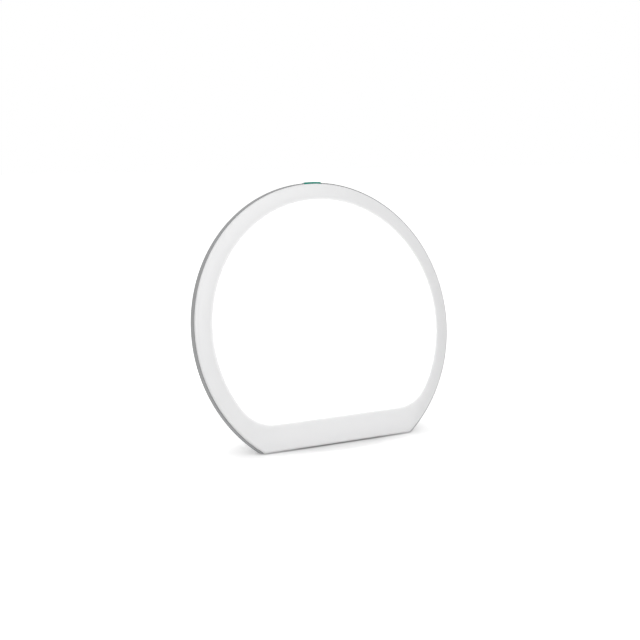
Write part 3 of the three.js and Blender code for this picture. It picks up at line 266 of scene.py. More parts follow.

# %% [markdown]
# Every solid of the frame takes the finish that the table below gives it. The
# solids that stay in view, such as the hinge pin, need nothing more.

# %% Dress the solids
SLOT_OF_NODE = {
    "front_bezel": "white_plastic", "light_frame": "white_plastic", "rear_housing": "silver_plastic",
    "kickstand_leg": "silver_plastic", "power_button": "teal_plastic", "diffuser_panel": "opal_acrylic",
    "light_guide": "clear_acrylic", "diffuser_film": "film", "reflector_sheet": "film", "edge_gasket": "foam",
    "led_strip_right": "strip", "led_strip_left": "strip", "backing_plate": "aluminium", "hinge_pin": "steel",
    "hinge_washer_right": "steel", "hinge_washer_left": "steel", "jack_pin": "steel", "switch_board": "board",
    "control_board": "board", "led_connector": "nylon", "switch_connector": "nylon",
    "power_connector": "nylon",
    "led_lead": "lead_sheath", "switch_lead": "lead_sheath", "power_lead": "lead_sheath",
    "input_capacitor": "aluminium", "output_capacitor": "aluminium", "strip_jumper": "lead_sheath",
    "kickstand_shoe": "rubber", "base_foot_right": "rubber", "base_foot_left": "rubber",
}


def slot_of(node):
    """The finish slot of a node: screws are steel, and what the table leaves out is black."""
    return SLOT_OF_NODE.get(node, "steel" if "screw" in node else "black_part")


for node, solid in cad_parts.items():
    solid.data.materials.clear()
    solid.data.materials.append(finishes[slot_of(node)])
print("dressed", len(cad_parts), "solids")

# %% [markdown]
# ## Modelling in the panel's own axes
# The panel is drawn flat and upright, in millimetres, about the centre of its
# circle: x to the right, y to the rear and z up. The last step of every piece
# leans it back by 12 degrees and stands it on its feet. The leg is drawn the
# same way about its pin.

# %% Set the panel's place and the shared sizes
LEAN = math.radians(12)
LEG_OPEN = math.radians(22)
HINGE_DEPTH, HINGE_RISE = 12.7, 22.0
PANEL = Matrix.Translation(PANEL_MIDDLE) @ Matrix.Rotation(-LEAN, 4, "X") @ Matrix.Scale(MM, 4)
STAND = PANEL @ Matrix.Translation((0, HINGE_DEPTH, HINGE_RISE)) @ Matrix.Rotation(LEG_OPEN, 4, "X")
RIM_RADIUS, BASE_DROP, BASE_CORNER = 112.9, 91.8, 3.4
WINDOW_RADIUS, WINDOW_DROP, WINDOW_CORNER = 99.5, 70.4, 32.5
BODY_RADIUS, PANEL_REAR = 114.2, 15.7
print("panel", 2 * BODY_RADIUS, "mm across")

# %% [markdown]
# Every outline of the panel is a letter D on its back: a circle cut by a flat
# foot edge. One vertex is spun round each corner and round the big circle, and
# the flat edge closes the ring. Rings with the same number of points bridge
# cleanly into a smooth skin.

# %% Make the tools for rings
ARC_STEPS, CORNER_STEPS, BASE_CUTS = 192, 10, 39


def swing(bm, tip, centre, angle, steps, axis=(0, -1, 0)):
    """Spins one vertex, about an axis through the panel by itself, and gives back the far end of its arc."""
    spun = bmesh.ops.spin(bm, geom=[tip], cent=centre, axis=axis, angle=angle, steps=steps)
    return next(part for part in spun["geom_last"] if isinstance(part, bmesh.types.BMVert))


def d_ring(bm, radius, drop, corner, depth):
    """One closed ring of edges in the shape of a D."""
    rise = drop - corner
    side = math.sqrt((radius - corner) ** 2 - rise ** 2)
    turn = math.atan2(-rise, side)
    known = set(bm.edges)
    first = bm.verts.new((side, depth, -drop))
    tip = swing(bm, first, (side, depth, -rise), turn + RIGHT_ANGLE, CORNER_STEPS)
    tip = swing(bm, tip, (0, depth, 0), math.pi - 2 * turn, ARC_STEPS)
    tip = swing(bm, tip, (-side, depth, -rise), turn + RIGHT_ANGLE, CORNER_STEPS)
    base = bm.edges.new((tip, first))
    bmesh.ops.subdivide_edges(bm, edges=[base], cuts=BASE_CUTS)
    return [edge for edge in bm.edges if edge not in known]


print("points in a ring", ARC_STEPS + 2 * CORNER_STEPS + BASE_CUTS + 1)

# %% [markdown]
# A stack of rings becomes a skin in one of two ways: closed on itself like a
# hoop, as the bezel is, or with a face on each end, as a plain body is.

# %% Make the tools for skins
def bridge_ring(bm, loops):
    """Bridges each loop to the next, and the last to the first."""
    for first, second in zip(loops, loops[1:] + loops[:1]):
        bmesh.ops.bridge_loops(bm, edges=first + second)


def bridge_stack(bm, loops):
    """Bridges each loop to the next, and closes both ends with a face."""
    for first, second in zip(loops, loops[1:]):
        bmesh.ops.bridge_loops(bm, edges=first + second)
    for loop in (loops[0], loops[-1]):
        bmesh.ops.edgeloop_fill(bm, edges=loop)


print("skin tools ready")

# %% [markdown]
# Every finished piece is merged, faces outwards and is moved to its place in the
# lamp's frame inside its own mesh. It is shaded smooth, and edges past a set
# angle stay crisp. Then it gets its finish, rides its body and stands for the
# solids that it replaces.

# %% Make the tools for finished pieces
SHARP_FACE, MERGE_GAP = 35, 0.0005


def make_piece(bm, name, place, sharp=SHARP_FACE):
    """Turns a bmesh drawn in millimetres into an object in the lamp's frame."""
    bmesh.ops.remove_doubles(bm, verts=bm.verts, dist=MERGE_GAP)
    bmesh.ops.recalc_face_normals(bm, faces=bm.faces)
    bm.transform(place)
    mesh = bpy.data.meshes.new(name)
    bm.to_mesh(mesh)
    bm.free()
    mesh.shade_smooth()
    mesh.set_sharp_from_angle(angle=math.radians(sharp))
    piece = bpy.data.objects.new(name, mesh)
    bpy.context.scene.collection.objects.link(piece)
    return piece


def hand_over(piece, slot, body, *nodes):
    """Gives a piece its finish and body, and lets it stand for its solids."""
    piece.data.materials.clear()
    piece.data.materials.append(finishes[slot])
    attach(piece, body)
    if nodes:
        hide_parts(*nodes)
    print(piece.name, len(piece.data.polygons), "faces")
    return piece


print("edges sharper than", SHARP_FACE, "degrees stay crisp")

# %% [markdown]
# ## Front bezel
# The real bezel is one white moulding. Its face swells from a rounded rim to
# its highest line beside the window, turns in over a small lip, and a tongue
# behind it plugs into the housing. It could be a curve with a bevel, but the
# face is far wider along the foot than at the sides, so rings are bridged.

# %% Draw the bezel's rings
EDGE_INSET, EDGE_RISE, BEZEL_RISE, BEZEL_WALL = 2.2, 1.95, 4.25, 1.6
LIP_ROUND, SHARPEST_CORNER = 0.4, 1.0
TONGUE_INSET, TONGUE_THICK, TONGUE_LENGTH = 1.9, 1.3, 2.0
MIDWAY, BACK_SAG = 0.5, 0.05
EDGE_STEPS, FACE_STEPS, LIP_STEPS = 6, 12, 3


def rim(inset, depth):
    """A ring that follows the bezel's outer edge."""
    return (RIM_RADIUS - inset, BASE_DROP - inset, max(BASE_CORNER - inset, SHARPEST_CORNER), depth)


def window(outset, depth):
    """A ring that follows the window's edge."""
    return (WINDOW_RADIUS + outset, WINDOW_DROP + outset, WINDOW_CORNER + outset, depth)


def between(first, second, share):
    """The ring that lies a share of the way from one ring to another."""
    return tuple(start + (end - start) * share for start, end in zip(first, second))


bezel_rings = []
for step in range(EDGE_STEPS + 1):
    angle = RIGHT_ANGLE * step / EDGE_STEPS
    bezel_rings.append(rim(EDGE_INSET * (1 - math.cos(angle)), -EDGE_RISE * math.sin(angle)))
edge_ring, crest_ring = rim(EDGE_INSET, 0), window(LIP_ROUND, 0)
for step in range(1, FACE_STEPS + 1):
    share = step / FACE_STEPS
    depth = -EDGE_RISE - (BEZEL_RISE - EDGE_RISE) * math.sin(share * RIGHT_ANGLE)
    bezel_rings.append((*between(edge_ring, crest_ring, share)[:3], depth))
for step in range(1, LIP_STEPS + 1):
    angle = RIGHT_ANGLE * step / LIP_STEPS
    outset, inward = LIP_ROUND * (1 - math.sin(angle)), LIP_ROUND * (1 - math.cos(angle))
    bezel_rings.append(window(outset, inward - BEZEL_RISE))
inner = rim(TONGUE_INSET + TONGUE_THICK, 0)
bezel_rings.append(window(0, BEZEL_WALL - BEZEL_RISE))
bezel_rings.append((*between(inner, window(0, 0), MIDWAY)[:3], BEZEL_WALL - BEZEL_RISE + BACK_SAG))
bezel_rings.append(rim(TONGUE_INSET + TONGUE_THICK, BEZEL_WALL - EDGE_RISE))
bezel_rings.append(rim(TONGUE_INSET + TONGUE_THICK, TONGUE_LENGTH))
bezel_rings.append(rim(TONGUE_INSET, TONGUE_LENGTH))
bezel_rings.append(rim(TONGUE_INSET, 0))
print("bezel rings", len(bezel_rings))

# %% [markdown]
# The tongue would run into the housing's thick floor along the foot, so its
# points there are lifted clear, as the real mould is cut back. A painted
# attribute marks how near each point of the face is to the window: there the
# face gives out a faint painted glow, which stands in for light that shines
# through the thin lip.

# %% Build the bezel
FLOOR_CLEAR, TONGUE_MARGIN = 3.7, 0.1
GLOW_REACH = 3


def lift_tongue(bm):
    """Lifts the points of the tongue clear of the housing's floor."""
    for vert in bm.verts:
        floor = (FLOOR_CLEAR - PANEL_MIDDLE.z / MM + vert.co.y * math.sin(LEAN)) / math.cos(LEAN)
        if vert.co.y > -EDGE_RISE / 2 and abs(vert.co.x) < WINDOW_RADIUS:
            if -BASE_DROP + TONGUE_INSET - TONGUE_MARGIN < vert.co.z < floor:
                vert.co.z = floor


def painted_glow_share(co):
    """How much painted glow a point gets: 1 at the window's edge, falling to 0 a few millimetres out on the
    face.
    """
    rise = WINDOW_DROP - WINDOW_CORNER
    side = math.sqrt((WINDOW_RADIUS - WINDOW_CORNER) ** 2 - rise ** 2)
    x, z = abs(co.x), co.z
    if z < -rise and x < side:
        gap = -z - WINDOW_DROP
    elif z < -rise * x / side:
        gap = math.hypot(x - side, z + rise) - WINDOW_CORNER
    else:
        gap = math.hypot(x, z) - WINDOW_RADIUS
    return max(0.0, 1 - gap / GLOW_REACH)


bm = bmesh.new()
bridge_ring(bm, [d_ring(bm, *ring) for ring in bezel_rings])
lift_tongue(bm)
# The glow attribute masks the painted glow on the face beside the window.
glow = bm.verts.layers.float.new("glow")
for vert in bm.verts:
    vert[glow] = painted_glow_share(vert.co)
bezel = hand_over(make_piece(bm, "bezel_moulding", PANEL), "white_plastic", "lamp_body", "front_bezel")

# %% [markdown]
# ## The lip's painted glow
# Only the bezel has that attribute, so it gets its own copy of the white
# finish, where the attribute drives a faint painted glow: the white plastic
# gives out light near the window, standing in for light that shines through
# the thin lip.

# %% Paint a glow on the lip
PAINTED_LIP_GLOW, GLOW_CURVE = 0.25, 2.0


def give_own_finish(piece, slot, name):
    """Gives a piece its own copy of a finish, with the piece's glow attribute ready to link."""
    material = finishes[slot].copy()
    material.name = name
    piece.data.materials[0] = material
    tree = material.node_tree
    reader = tree.nodes.new("ShaderNodeAttribute")
    reader.attribute_name = "glow"
    return tree, reader.outputs["Fac"], tree.nodes["Principled BSDF"]


tree, painted_glow_mask, shader = give_own_finish(bezel, "white_plastic", "satin_white_painted_lip_glow")
tree.links.new(add_maths(tree, "POWER", painted_glow_mask, GLOW_CURVE), shader.inputs["Emission Color"])
shader.inputs["Emission Strength"].default_value = PAINTED_LIP_GLOW
print("lip glow", PAINTED_LIP_GLOW)

# %% [markdown]
# ## Window
# The window is the front face of the opal sheet, which laps behind the bezel.
# The light guide reaches its edge least, so the sheet dims a little over the
# last few millimetres. Rings at growing distances from the edge carry that as
# an attribute.

# %% Build the opal sheet
SHEET_LAP, SHEET_FRONT, SHEET_REAR, EDGE_DIM = 2.0, -1.5, 0.5, 0.86
DIM_RINGS = [(0.0, EDGE_DIM), (-1.0, 0.92), (-2.0, 0.96), (-3.5, 0.99), (-6.0, 1.0)]
sheet_rings = [(SHEET_LAP, SHEET_REAR, EDGE_DIM), (SHEET_LAP, SHEET_FRONT, EDGE_DIM)]
sheet_rings += [(outset, SHEET_FRONT, share) for outset, share in DIM_RINGS]

bm = bmesh.new()
glow = bm.verts.layers.float.new("glow")
loops = []
for outset, depth, share in sheet_rings:
    known = set(bm.verts)
    loops.append(d_ring(bm, *window(outset, depth)))
    for vert in bm.verts:
        if vert not in known:
            vert[glow] = share
bridge_stack(bm, loops)
sheet = hand_over(make_piece(bm, "opal_sheet", PANEL), "opal_acrylic", "lamp_body", "diffuser_panel")
tree, edge_share, shader = give_own_finish(sheet, "opal_acrylic", "lit_opal_dimmed_edge")
tree.links.new(edge_share, shader.inputs["Emission Strength"])

# %% [markdown]
# ## Rear housing
# The real housing is one deep silver moulding: a thin band at the seam, a flank
# that rolls over into a flat back, and inside it ribs, screw towers and the
# walls of the leg's recess. All of those are in its solid already, but that is
# faceted. So a copy of the solid is merged and shrunk by a hair, a fine smooth
# skin is united with it, and cutters with many sides open the holes again. A
# boolean is the plain way to do this, because mould tools cut the same way.

# %% Make the tools for uniting and cutting
FLANK_POWER, FLANK_STEPS = 1.5, 18
BAND_DEPTH, REAR_RADIUS, REAR_DROP, REAR_CORNER = 3.6, 102.4, 86.0, 6.0
FLARE, SEAM, SEAM_STEP = 1.3, 0.3, 0.9
OVERRUN = 30.0
COPY_MERGE_GAP = 0.002


def loose_object(bm, name):
    """An object in millimetres, for the booleans."""
    bmesh.ops.recalc_face_normals(bm, faces=bm.faces)
    mesh = bpy.data.meshes.new(name)
    bm.to_mesh(mesh)
    bm.free()
    loose = bpy.data.objects.new(name, mesh)
    bpy.context.scene.collection.objects.link(loose)
    return loose


def combine(base, tool, operation):
    """Unites base with tool, or takes tool away from it, and deletes tool."""
    step = base.modifiers.new("combine", "BOOLEAN")
    step.operation = operation
    step.solver = "MANIFOLD"
    step.object = tool
    bpy.context.view_layer.update()
    evaluated = base.evaluated_get(bpy.context.evaluated_depsgraph_get())
    shaped = bpy.data.meshes.new_from_object(evaluated)
    base.modifiers.clear()
    base.data = shaped
    bpy.data.objects.remove(tool)
    return base


def from_object(loose):
    """The bmesh of a loose object, which is deleted."""
    bm = bmesh.new()
    bm.from_mesh(loose.data)
    bpy.data.objects.remove(loose)
    return bm


def merged_copy(node, place):
    """A node's solid as one joined mesh, in the millimetres of the place where it is drawn."""
    bm = bmesh.new()
    bm.from_mesh(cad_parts[node].data)
    bm.transform(place.inverted())
    bmesh.ops.remove_doubles(bm, verts=bm.verts, dist=COPY_MERGE_GAP)
    return bm


print("copies are merged within", COPY_MERGE_GAP, "mm")

# %% [markdown]
# The flank follows a power curve: full where the band meets it, then rolling
# over into the back. The same rings, a wall smaller, make the core that hollows
# the skin, and the foot edge is cut level with the table.

# %% Draw the smooth skin
def flank_rings(wall):
    """Rings from the seam over the band's crest and round to the flat back."""
    rings = [(RIM_RADIUS + SEAM_STEP - wall, BASE_DROP + SEAM_STEP - wall, REAR_CORNER - wall, SEAM)]
    for step in range(FLANK_STEPS + 1):
        angle = RIGHT_ANGLE * step / FLANK_STEPS
        inward = abs(math.cos(angle)) ** FLANK_POWER
        rearward = math.sin(angle) ** FLANK_POWER
        rings.append((REAR_RADIUS + (BODY_RADIUS - REAR_RADIUS) * inward - wall,
                      REAR_DROP + (BASE_DROP + FLARE - REAR_DROP) * inward - wall,
                      REAR_CORNER - wall,
                      BAND_DEPTH + (PANEL_REAR - wall - BAND_DEPTH) * rearward))
    return rings


def filled_skin(wall, front):
    """A solid with the housing's outline, a wall smaller all round, that starts at a depth."""
    bm = bmesh.new()
    rings = flank_rings(wall)
    if front < SEAM:
        rings.insert(0, (*rings[0][:3], front))
    bridge_stack(bm, [d_ring(bm, *ring) for ring in rings])
    return bm


TABLE_CUT = 1.02
SKIN = 1.0
outer = filled_skin(0, SEAM)
into_table = Vector((0, math.sin(LEAN), -math.cos(LEAN)))
table_point = Vector((0, 0, (TABLE_CUT - PANEL_MIDDLE.z / MM) / math.cos(LEAN)))
cut = bmesh.ops.bisect_plane(outer, geom=outer.verts[:] + outer.edges[:] + outer.faces[:],
                             plane_co=table_point, plane_no=into_table, clear_outer=True)
rim_edges = [part for part in cut["geom_cut"] if isinstance(part, bmesh.types.BMEdge)]
bmesh.ops.edgeloop_fill(outer, edges=rim_edges)
skin = combine(loose_object(outer, "skin"), loose_object(filled_skin(SKIN, -SKIN), "core"), "DIFFERENCE")
print("skin", len(skin.data.polygons), "faces")

# %% [markdown]
# The copy of the solid is shrunk by a hair, so that the fine skin lies just
# over its facets and not in them.

# %% Unite the skin with the solid
HAIR = Matrix.Diagonal((0.9995, 0.998, 0.9995, 1))
solid = merged_copy("rear_housing", PANEL)
solid.transform(HAIR)
housing = combine(loose_object(solid, "housing"), skin, "UNION")
print("housing", len(housing.data.polygons), "faces")

# %% [markdown]
# The mouth of the leg's recess and of the inlet are rolled over a small radius,
# so they catch the light as moulded edges do. Each cutter is a stack of rings
# that opens out over that radius.

# %% Make the tools for cutters
MOUTH_ROUND, MOUTH_STEPS, CLEAR = 0.7, 5, 0.02
CIRCLE_SIDES = 48


def point_ring(bm, points, depth):
    """A closed ring of edges through a few points of the panel's plane."""
    verts = [bm.verts.new((x, depth, z)) for x, z in points]
    return [bm.edges.new(pair) for pair in zip(verts, verts[1:] + verts[:1])]


def round_ring(bm, x, z, radius, depth):
    """A circle of edges that faces the rear."""
    turn = Matrix.Translation((x, depth, z)) @ Matrix.Rotation(RIGHT_ANGLE, 4, "X")
    known = set(bm.edges)
    bmesh.ops.create_circle(bm, segments=CIRCLE_SIDES, radius=radius, matrix=turn)
    return [edge for edge in bm.edges if edge not in known]


def rolled_mouth(draw, floor, rear):
    """A cutter from floor to the rear surface that opens out over its last stretch."""
    bm = bmesh.new()
    loops = [draw(bm, CLEAR, floor)]
    for step in range(MOUTH_STEPS + 1):
        rise = step / MOUTH_STEPS
        opening = MOUTH_ROUND * (1 - math.sqrt(1 - rise ** 2))
        loops.append(draw(bm, CLEAR + opening, rear - MOUTH_ROUND * (1 - rise)))
    loops.append(draw(bm, CLEAR + MOUTH_ROUND, rear + OVERRUN))
    bridge_stack(bm, loops)
    return bm


def box(bm, low, high, turn=Matrix.Identity(4)):
    """A block between two corners, turned about the origin of its drawing."""
    middle = (Vector(low) + Vector(high)) / 2
    size = Matrix.Diagonal((*(Vector(high) - Vector(low)), 1))
    bmesh.ops.create_cube(bm, size=1, matrix=turn @ Matrix.Translation(middle) @ size)


print("mouths are rolled over", MOUTH_ROUND, "mm")

# %% [markdown]
# The recess has the leg's own outline and a gap all round, and it runs out
# through the foot edge. The inlet's hole is a plain circle.

# %% Draw the recess and the inlet
LEG_LENGTH, LEG_THICK = 111.365, 5.4
LEG_TOP_HALF, LEG_FOOT_HALF, LEG_STRAIGHT, LEG_GAP = 24.0, 19.0, 8.0, 0.5
HEEL_SWEEP = math.hypot(4.0, 2.7)
RECESS_FLOOR = 9.7
JACK_SIDE, JACK_DROP, JACK_MOUTH = 30.0, 80.0, 3.9


def recess_ring(bm, margin, depth):
    """The outline of the leg's recess, which runs out through the foot edge."""
    slope = (LEG_TOP_HALF - LEG_FOOT_HALF) / (LEG_LENGTH - LEG_STRAIGHT)
    half = LEG_TOP_HALF + LEG_GAP + margin
    low = LEG_FOOT_HALF + LEG_GAP + margin - slope * OVERRUN
    right = [(low, HINGE_RISE - LEG_LENGTH - OVERRUN), (half, HINGE_RISE - LEG_STRAIGHT),
             (half, HINGE_RISE + HEEL_SWEEP + LEG_GAP + margin)]
    return point_ring(bm, right + [(-x, z) for x, z in reversed(right)], depth)


def inlet_ring(bm, margin, depth):
    """The outline of the hole over the inlet."""
    return round_ring(bm, JACK_SIDE, -JACK_DROP, JACK_MOUTH + margin, depth)


print("recess for a leg of", LEG_LENGTH, "mm")

# %% [markdown]
# Now the recess, the inlet, six screw wells, room for the heel of the open leg
# and the button's slot are taken out of the housing, one after another.

# %% Cut the housing
SCREW_REACH, TOWER_SEAT, COUNTERBORE = 108.8, 5.3, 2.0
SCREW_TURNS, BASE_SCREW = (math.radians(62), math.radians(-8)), (52.0, -82.2)
SLOT_HALF, SLOT_FLOOR, SLOT_REAR, SLOT_OVERRUN = 7.8, 110.9, 6.3, 2.0
right_spots = [(SCREW_REACH * math.cos(turn), SCREW_REACH * math.sin(turn)) for turn in SCREW_TURNS]
screw_spots = [(sign * x, z) for x, z in right_spots + [BASE_SCREW] for sign in (1, -1)]

recess = rolled_mouth(recess_ring, RECESS_FLOOR - CLEAR, PANEL_REAR)
combine(housing, loose_object(recess, "recess"), "DIFFERENCE")
inlet = rolled_mouth(inlet_ring, RECESS_FLOOR, PANEL_REAR)
combine(housing, loose_object(inlet, "inlet"), "DIFFERENCE")
cutter = bmesh.new()
for x, z in screw_spots:
    depths = (TOWER_SEAT - CLEAR, OVERRUN)
    bridge_stack(cutter, [round_ring(cutter, x, z, COUNTERBORE, depth) for depth in depths])
combine(housing, loose_object(cutter, "counterbores"), "DIFFERENCE")
cutter = bmesh.new()
heel_turn = Matrix.Translation((0, HINGE_DEPTH, HINGE_RISE)) @ Matrix.Rotation(LEG_OPEN, 4, "X")
half = LEG_TOP_HALF + LEG_GAP + CLEAR
box(cutter, (-half, -LEG_THICK / 2 - SEAM, 0), (half, LEG_THICK, HEEL_SWEEP + SEAM), heel_turn)
combine(housing, loose_object(cutter, "heel_room"), "DIFFERENCE")
cutter = bmesh.new()
box(cutter, (-SLOT_HALF, -SEAM, SLOT_FLOOR), (SLOT_HALF, SLOT_REAR, BODY_RADIUS + SLOT_OVERRUN))
combine(housing, loose_object(cutter, "button_slot"), "DIFFERENCE")
print("cut housing", len(housing.data.polygons), "faces")

# %% [markdown]
# Long thin triangles beside the holes would make the shading ripple. Weighted
# normals let the large faces decide, and edges sharper than the limit stay
# crisp.

# %% Place the housing
SHARP_EDGE, LARGE_FACE_WEIGHT = 30, 90


def weigh_normals(piece):
    """Lets the large faces set the shading."""
    weighted = piece.modifiers.new("weighted_normals", "WEIGHTED_NORMAL")
    weighted.keep_sharp = True
    weighted.weight = LARGE_FACE_WEIGHT


housing = make_piece(from_object(housing), "housing_moulding", PANEL, SHARP_EDGE)
weigh_normals(housing)
hand_over(housing, "silver_plastic", "lamp_body", "rear_housing")

# %% [markdown]
# ## Kickstand
# The leg is a flat cored moulding with a rubber shoe. Its solid has the right
# shape with hard edges, so a merged copy loses its needless flat cuts and gets
# a small round on every long edge, as a moulded part has.

# %% Round the leg and its shoe
FLAT_ANGLE, EDGE_ANGLE = math.radians(1), math.radians(25)


def soften(node, name, place, width, shortest):
    """A copy of a solid whose edges are rounded, but for those under a length."""
    bm = merged_copy(node, place)
    bmesh.ops.dissolve_limit(bm, angle_limit=FLAT_ANGLE, verts=bm.verts, edges=bm.edges)
    sharp = [edge for edge in bm.edges if edge.is_manifold and edge.calc_face_angle() > EDGE_ANGLE
             and edge.calc_length() > shortest]
    bmesh.ops.bevel(bm, geom=sharp, offset=width, offset_type="OFFSET", segments=3, profile=0.5,
                    affect="EDGES", clamp_overlap=True, material=-1)
    return make_piece(bm, name, place, SHARP_EDGE)


leg = soften("kickstand_leg", "leg_moulding", STAND, 0.5, 1.6)
weigh_normals(leg)
hand_over(leg, "silver_plastic", "kickstand", "kickstand_leg")
shoe = soften("kickstand_shoe", "shoe_moulding", STAND, 0.4, 2.0)
hand_over(shoe, "rubber", "kickstand", "kickstand_shoe")

# %% [markdown]
# ## Power button
# The button is a short teal bar that follows the curve of the edge. A section
# with two round corners is spun about the panel's middle, which gives exactly
# that curve, and its ends are rounded after. A flange keeps it in its slot and
# a stem reaches down to the switch.

# %% Make the tool for spun bars
BAR_STEPS, END_CORNERS, LONGEST_END = 24, 6, 50


def spun_bar(inner, outer, half_length, front, rear, corner=0.0):
    """A bar with a rectangular section that follows the panel's edge at the top."""
    bm = bmesh.new()
    half = half_length / outer
    section = [(front, inner), (front, outer), (rear, outer), (rear, inner)]
    start = Matrix.Rotation(half, 4, "Y")
    verts = [bm.verts.new(start @ Vector((0, depth, reach))) for depth, reach in section]
    face = bm.faces.new(verts)
    if corner:
        bmesh.ops.bevel(bm, geom=verts[1:3], offset=corner, offset_type="OFFSET", segments=6, profile=0.5,
                        affect="VERTICES", material=-1)
        face = bm.faces[:][0]
    bmesh.ops.spin(bm, geom=[face], cent=(0, 0, 0), axis=(0, -1, 0), angle=2 * half, steps=BAR_STEPS)
    open_edges = [edge for edge in bm.edges if edge.is_boundary]
    if open_edges:
        bmesh.ops.holes_fill(bm, edges=open_edges)
    if corner:
        bmesh.ops.recalc_face_normals(bm, faces=bm.faces)
        ends = [face for face in bm.faces if len(face.verts) > END_CORNERS]
        edges = [edge for face in ends for edge in face.edges if edge.calc_length() < LONGEST_END]
        bmesh.ops.bevel(bm, geom=edges, offset=corner / 2, offset_type="OFFSET", segments=3, profile=0.5,
                        affect="EDGES", clamp_overlap=True, material=-1)
    return bm


print("bars have", BAR_STEPS, "steps")

# %% [markdown]
# The bar, its flange and its stem are united into one moulding.

# %% Build the button
BUTTON_TOP, BUTTON_ROOT, BUTTON_ROUND = 114.5, 111.7, 0.7
BUTTON_HALF, BUTTON_FRONT, BUTTON_BACK = 7.5, 0.6, 6.0
FLANGE_ROOT, FLANGE_TOP, FLANGE_HALF, FLANGE_FRONT = 110.6, 111.9, 9.3, 2.6
STEM_LOW, STEM_HIGH = (-1.5, 3.5, 109.7), (1.5, 5.1, 110.9)
bar = spun_bar(BUTTON_ROOT, BUTTON_TOP, BUTTON_HALF, BUTTON_FRONT, BUTTON_BACK, BUTTON_ROUND)
button = loose_object(bar, "button")
flange = spun_bar(FLANGE_ROOT, FLANGE_TOP, FLANGE_HALF, FLANGE_FRONT, BUTTON_BACK)
combine(button, loose_object(flange, "flange"), "UNION")
stem = bmesh.new()
box(stem, STEM_LOW, STEM_HIGH)
combine(button, loose_object(stem, "stem"), "UNION")
button = make_piece(from_object(button), "button_moulding", PANEL, SHARP_EDGE)
hand_over(button, "teal_plastic", "button", "power_button")

# %% [markdown]
# ## Screws
# Six screws hold the housing to the bezel from behind. Half a section is spun
# round to make a domed head on a shank, and two crossed blocks cut its recess.
# One screw is made, and the six pieces are copies of it in their towers.

# %% Turn the screws
SCREW_SEAT = TOWER_SEAT + SEAM
HEAD_RADIUS, HEAD_HEIGHT, SHANK_RADIUS, SHANK_LENGTH = 1.7, 1.1, 0.9, 5.6
HEAD_DOME = [(0.55, 1.0), (0.8, 0.92), (0.94, 0.75), (1.0, 0.5), (1.0, 0.08), (0.96, 0.0)]
TIP_LENGTH, TIP_TAPER = 0.5, 0.4
CROSS_HALF, CROSS_THIN, CROSS_LOW, CROSS_HIGH = 1.0, 0.26, 0.4, 2.0
LATHE_STEPS, SCREW_TURN = 32, 0.7


def lathe(profile):
    """Spins a half section, given as steps out from the y axis and up along it, once round."""
    bm = bmesh.new()
    verts = [bm.verts.new((out, up, 0)) for out, up in profile]
    half_section = [bm.edges.new(pair) for pair in zip(verts, verts[1:])]
    bmesh.ops.spin(bm, geom=verts + half_section, cent=(0, 0, 0), axis=(0, 1, 0), angle=2 * math.pi,
                   steps=LATHE_STEPS, use_merge=True)
    bmesh.ops.remove_doubles(bm, verts=bm.verts, dist=MERGE_GAP)
    return bm


profile = [(0.0, HEAD_HEIGHT)] + [(HEAD_RADIUS * out, HEAD_HEIGHT * up) for out, up in HEAD_DOME]
profile += [(SHANK_RADIUS, 0.0), (SHANK_RADIUS, TIP_LENGTH - SHANK_LENGTH),
            (SHANK_RADIUS - TIP_TAPER, -SHANK_LENGTH), (0.0, -SHANK_LENGTH)]
screw = loose_object(lathe(profile), "screw")
for half_x, half_z in ((CROSS_HALF, CROSS_THIN), (CROSS_THIN, CROSS_HALF)):
    cutter = bmesh.new()
    box(cutter, (-half_x, CROSS_LOW, -half_z), (half_x, CROSS_HIGH, half_z))
    combine(screw, loose_object(cutter, "slot"), "DIFFERENCE")
for number, (x, z) in enumerate(screw_spots, 1):
    bm = bmesh.new()
    bm.from_mesh(screw.data)
    turn = Matrix.Rotation(SCREW_TURN * number, 3, "Y")
    bmesh.ops.rotate(bm, verts=bm.verts, cent=(0, 0, 0), matrix=turn)
    bmesh.ops.translate(bm, verts=bm.verts, vec=(x, SCREW_SEAT, z))
    piece = make_piece(bm, f"turned_screw_{number}", PANEL, SHARP_EDGE)
    hand_over(piece, "steel", "lamp_body", f"housing_screw_{number}")
bpy.data.objects.remove(screw)

# %% [markdown]
# ## Inlet
# The inlet socket is a black block behind the back wall, with a round bore and
# a contact pin in its middle. Its solid is cut again with a round, chamfered
# bore, and the pin is spun with a domed tip.

# %% Bore the inlet and turn its pin
JACK_REAR, JACK_BORE, JACK_BORE_DEPTH, JACK_CHAMFER = 13.4, 3.5, 9.0, 0.4
PIN_TIP, PIN_ROOT, PIN_RADIUS = 11.1, -1.2, 1.0
PIN_DOME = [(0.0, 0.0), (0.5, 0.1), (0.85, 0.4), (PIN_RADIUS, 0.9)]
socket = loose_object(merged_copy("dc_jack", PANEL), "socket")
cutter = bmesh.new()
bore_steps = [(CLEAR, JACK_REAR - JACK_BORE_DEPTH), (CLEAR, JACK_REAR - JACK_CHAMFER),
              (JACK_CHAMFER, JACK_REAR), (JACK_CHAMFER, OVERRUN)]
bridge_stack(cutter, [round_ring(cutter, JACK_SIDE, -JACK_DROP, JACK_BORE + margin, depth)
                      for margin, depth in bore_steps])
combine(socket, loose_object(cutter, "bore"), "DIFFERENCE")
socket = make_piece(from_object(socket), "inlet_socket", PANEL, SHARP_EDGE)
hand_over(socket, "black_part", "lamp_body", "dc_jack")

profile = [(out, PIN_TIP - down) for out, down in PIN_DOME] + [(PIN_RADIUS, PIN_ROOT), (0.0, PIN_ROOT)]
bm = lathe(profile)
bmesh.ops.translate(bm, verts=bm.verts, vec=(JACK_SIDE, 0, -JACK_DROP))
hand_over(make_piece(bm, "inlet_pin", PANEL, SHARP_EDGE), "steel", "lamp_body", "jack_pin")

# %% [markdown]
# ## Feet
# Two soft pads lie flat on the table under the foot edge. The outline of one is
# spun from a vertex at both ends, filled, raised, and rounded along the floor.

